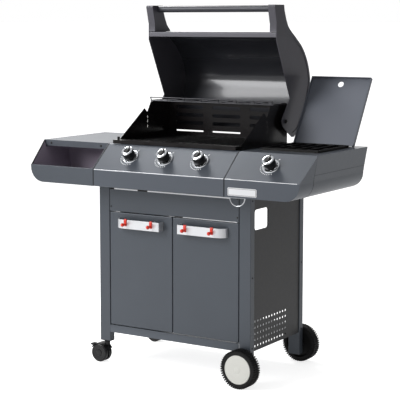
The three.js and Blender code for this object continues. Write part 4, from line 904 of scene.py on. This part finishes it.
def from_hinge(outline):
    """The outline moved to where the hinge line is."""
    return [(LID_HINGE[0] + a, LID_HINGE[1] + b) for a, b in outline]


def lid_casting(side):
    """An end casting: a thin outer face, a raised edge round a recess, and the arm to the handle."""
    rim = [tuple(p) for p in offset(lid_rear, -12)]
    rim = [(a, b) for a, b in rim if -40 < b < 340]
    outline = from_hinge(LID_FRONT + lid_rear + LID_FOOT)
    recess = from_hinge([(46, 92), (-68, 326), (-68, 350)] + rim + [(60, -50), (20, -20), (36, 30)])
    above = [(a, b) for a, b in lid_rear if b > BROW + 3]
    arm = from_hinge([(-76, BROW), *LID_FRONT[2:], *above, (40, BROW)])
    casting = Shape().prism([outline], "x", *span(side, HALF_COOK - 3, HALF_COOK - 2))
    casting.prism([outline, recess], "x", *span(side, HALF_COOK - 2.1, HALF_COOK))
    casting.prism([arm], "x", *span(side, HALF_COOK - 32, HALF_COOK - 1))
    label = SIDES[side]
    casting.make(f"lid_casting_{label}", ARM_PAINT, "lid", f"lid_end_{label}", "powder_coat", 0.8, 2)


def hinge_bolt(side):
    """The bolt head that the lid turns on."""
    bolt = Shape().lathe(BOLT, axes((0, *LID_HINGE), (side, 0, 0), (0, 0, 1)), 28)
    bolt.make(f"hinge_bolt_{SIDES[side]}", BLACK, "frame", slot="steel")


def lid_skin():
    """The bent sheet between the castings, darker and glossier on its inside."""
    top = fillet([(-76, 336), (-76, 356), (50, 356), (72, 346)], 5)
    back = [tuple(p) for p in offset(lid_rear, -8) if p.y < 330]
    path = from_hinge([tuple(p) for p in top] + back)[::-1]
    shell = Shape().prism([section(path, 2)], "x", 3.3 - HALF_COOK, HALF_COOK - 3.3)
    skin = shell.make("lid_skin", ARM_PAINT, "lid", "lid_shell", "powder_coat", 0.4)
    skin.data.materials.append(LID_PAINT)
    y, z = LID_HINGE
    centre = at(0, y, z + 150)
    low, high = at(0, 0, z - 60).z, at(0, 0, z + 352).z
    for face in skin.data.polygons:
        inwards = (centre - face.center).dot(face.normal) > 0
        if inwards and abs(face.normal.x) < 0.5 and low < face.center.z < high:
            face.material_index = 1


def handle_grip():
    """The tube between the arms."""
    half = 272.6
    wall = [(12, -half), (13.5, -half), (13.5, half), (12, half), (12, -half)]
    place = axes((0, LID_HINGE[0] + HANDLE[0], LID_HINGE[1] + HANDLE[1]), (1, 0, 0), (0, 0, 1))
    Shape().lathe(wall, place, 48).make("handle_grip", TUBE, "lid", "lid_handle", "handle_tube")


for side in SIDES:
    lid_casting(side)
    hinge_bolt(side)
lid_skin()
handle_grip()


# ---- Floor, light and camera ----
scene = bpy.context.scene
WHITE_LIGHT = (1, 1, 1, 1)
FLOOR_HALF = 900
FLOOR_GLOW = (0.3, 0.78)  # as the grill is lit by it, and as the camera sees it


def floor_finish():
    """Matt and pale, brighter to the camera than to the grill."""
    made = bpy.data.materials.new("floor")
    made.use_nodes = True
    nodes, links = made.node_tree.nodes, made.node_tree.links
    shader = nodes["Principled BSDF"]
    shader.inputs["Base Color"].default_value = (0.7, 0.7, 0.7, 1)
    shader.inputs["Roughness"].default_value = 0.9
    shader.inputs["Specular IOR Level"].default_value = 0.1
    shader.inputs["Emission Color"].default_value = WHITE_LIGHT
    ray = nodes.new("ShaderNodeLightPath")
    strength = nodes.new("ShaderNodeMapRange")
    strength.inputs["To Min"].default_value = FLOOR_GLOW[0]
    strength.inputs["To Max"].default_value = FLOOR_GLOW[1]
    links.new(ray.outputs["Is Camera Ray"], strength.inputs["Value"])
    links.new(strength.outputs["Result"], shader.inputs["Emission Strength"])
    return made


def studio(world):
    """White to the camera, and to the grill a light that grows towards two directions."""
    world.use_nodes = True
    nodes, links = world.node_tree.nodes, world.node_tree.links
    direction = nodes.new("ShaderNodeTexCoord")

    def towards(place, start, end, least, most):
        """A strength that grows as a ray turns to a place, from its cosine at start to that at end."""
        dot = nodes.new("ShaderNodeVectorMath")
        dot.operation = "DOT_PRODUCT"
        dot.inputs[1].default_value = Vector(place).normalized()
        links.new(direction.outputs["Generated"], dot.inputs[0])
        share = nodes.new("ShaderNodeMapRange")
        share.inputs["From Min"].default_value = start
        share.inputs["From Max"].default_value = end
        share.inputs["To Min"].default_value = least
        share.inputs["To Max"].default_value = most
        links.new(dot.outputs["Value"], share.inputs["Value"])
        return share.outputs["Result"]

    total = nodes.new("ShaderNodeMath")
    links.new(towards((-0.7, -0.45, 0.55), -0.7, 0.9, 0.08, 0.85), total.inputs[0])
    links.new(towards((-0.53, 0.84, 0.08), 0.7, 1.0, 0.0, 1.5), total.inputs[1])
    lit = nodes.new("ShaderNodeBackground")
    links.new(total.outputs["Value"], lit.inputs["Strength"])
    seen = nodes["Background"]
    seen.inputs["Color"].default_value = WHITE_LIGHT
    ray = nodes.new("ShaderNodeLightPath")
    blend = nodes.new("ShaderNodeMixShader")
    links.new(ray.outputs["Is Camera Ray"], blend.inputs[0])
    links.new(lit.outputs["Background"], blend.inputs[1])
    links.new(seen.outputs["Background"], blend.inputs[2])
    links.new(blend.outputs["Shader"], nodes["World Output"].inputs["Surface"])


def put(thing, place, look):
    """Puts a lamp or the camera in the scene, turned to look along a direction."""
    thing.location = place
    thing.rotation_mode = "QUATERNION"
    thing.rotation_quaternion = look.to_track_quat("-Z", "Y")
    scene.collection.objects.link(thing)


def lamp(name, place, size, power):
    """A soft box aimed at the middle of the grill. Places and sizes are in metres."""
    light = bpy.data.lights.new(name, "AREA")
    light.shape = "RECTANGLE"
    light.size, light.size_y = size
    light.energy = power
    put(bpy.data.objects.new(name, light), place, Vector((0, 0, 0.8)) - Vector(place))


floor_mesh = bpy.data.meshes.new("floor")
corners = [(-FLOOR_HALF, -FLOOR_HALF, 0), (FLOOR_HALF, -FLOOR_HALF, 0), (FLOOR_HALF, FLOOR_HALF, 0),
           (-FLOOR_HALF, FLOOR_HALF, 0)]
floor_mesh.from_pydata(corners, [], [(0, 1, 2, 3)])
floor_mesh.materials.append(floor_finish())
floor = bpy.data.objects.new("floor", floor_mesh)
scene.collection.objects.link(floor)

scene.view_settings.view_transform = "Standard"
scene.view_settings.look = "None"
scene.world = bpy.data.worlds.new("studio")
studio(scene.world)
lamp("key", (-2.3, -3.3, 2.8), (1.9, 2.4), 150)
lamp("top", (-1.9, 0.9, 3.3), (1.1, 1.1), 75)

SENSOR = 36
FOCAL = 3.2740665  # focal length as a share of the picture's width
YAW, PITCH = 0.5638, 0.1053  # how far the camera looks to the left and down
camera = bpy.data.cameras.new("camera")
camera.sensor_width = SENSOR
camera.lens = FOCAL * SENSOR
camera.shift_y = -0.1
camera.clip_end = 3000
look = Vector((-math.sin(YAW) * math.cos(PITCH), math.cos(YAW) * math.cos(PITCH), -math.sin(PITCH)))
eye = bpy.data.objects.new("camera", camera)
put(eye, at(2809.4029, -4240.4914, 1391.7259), look)
scene.camera = eye
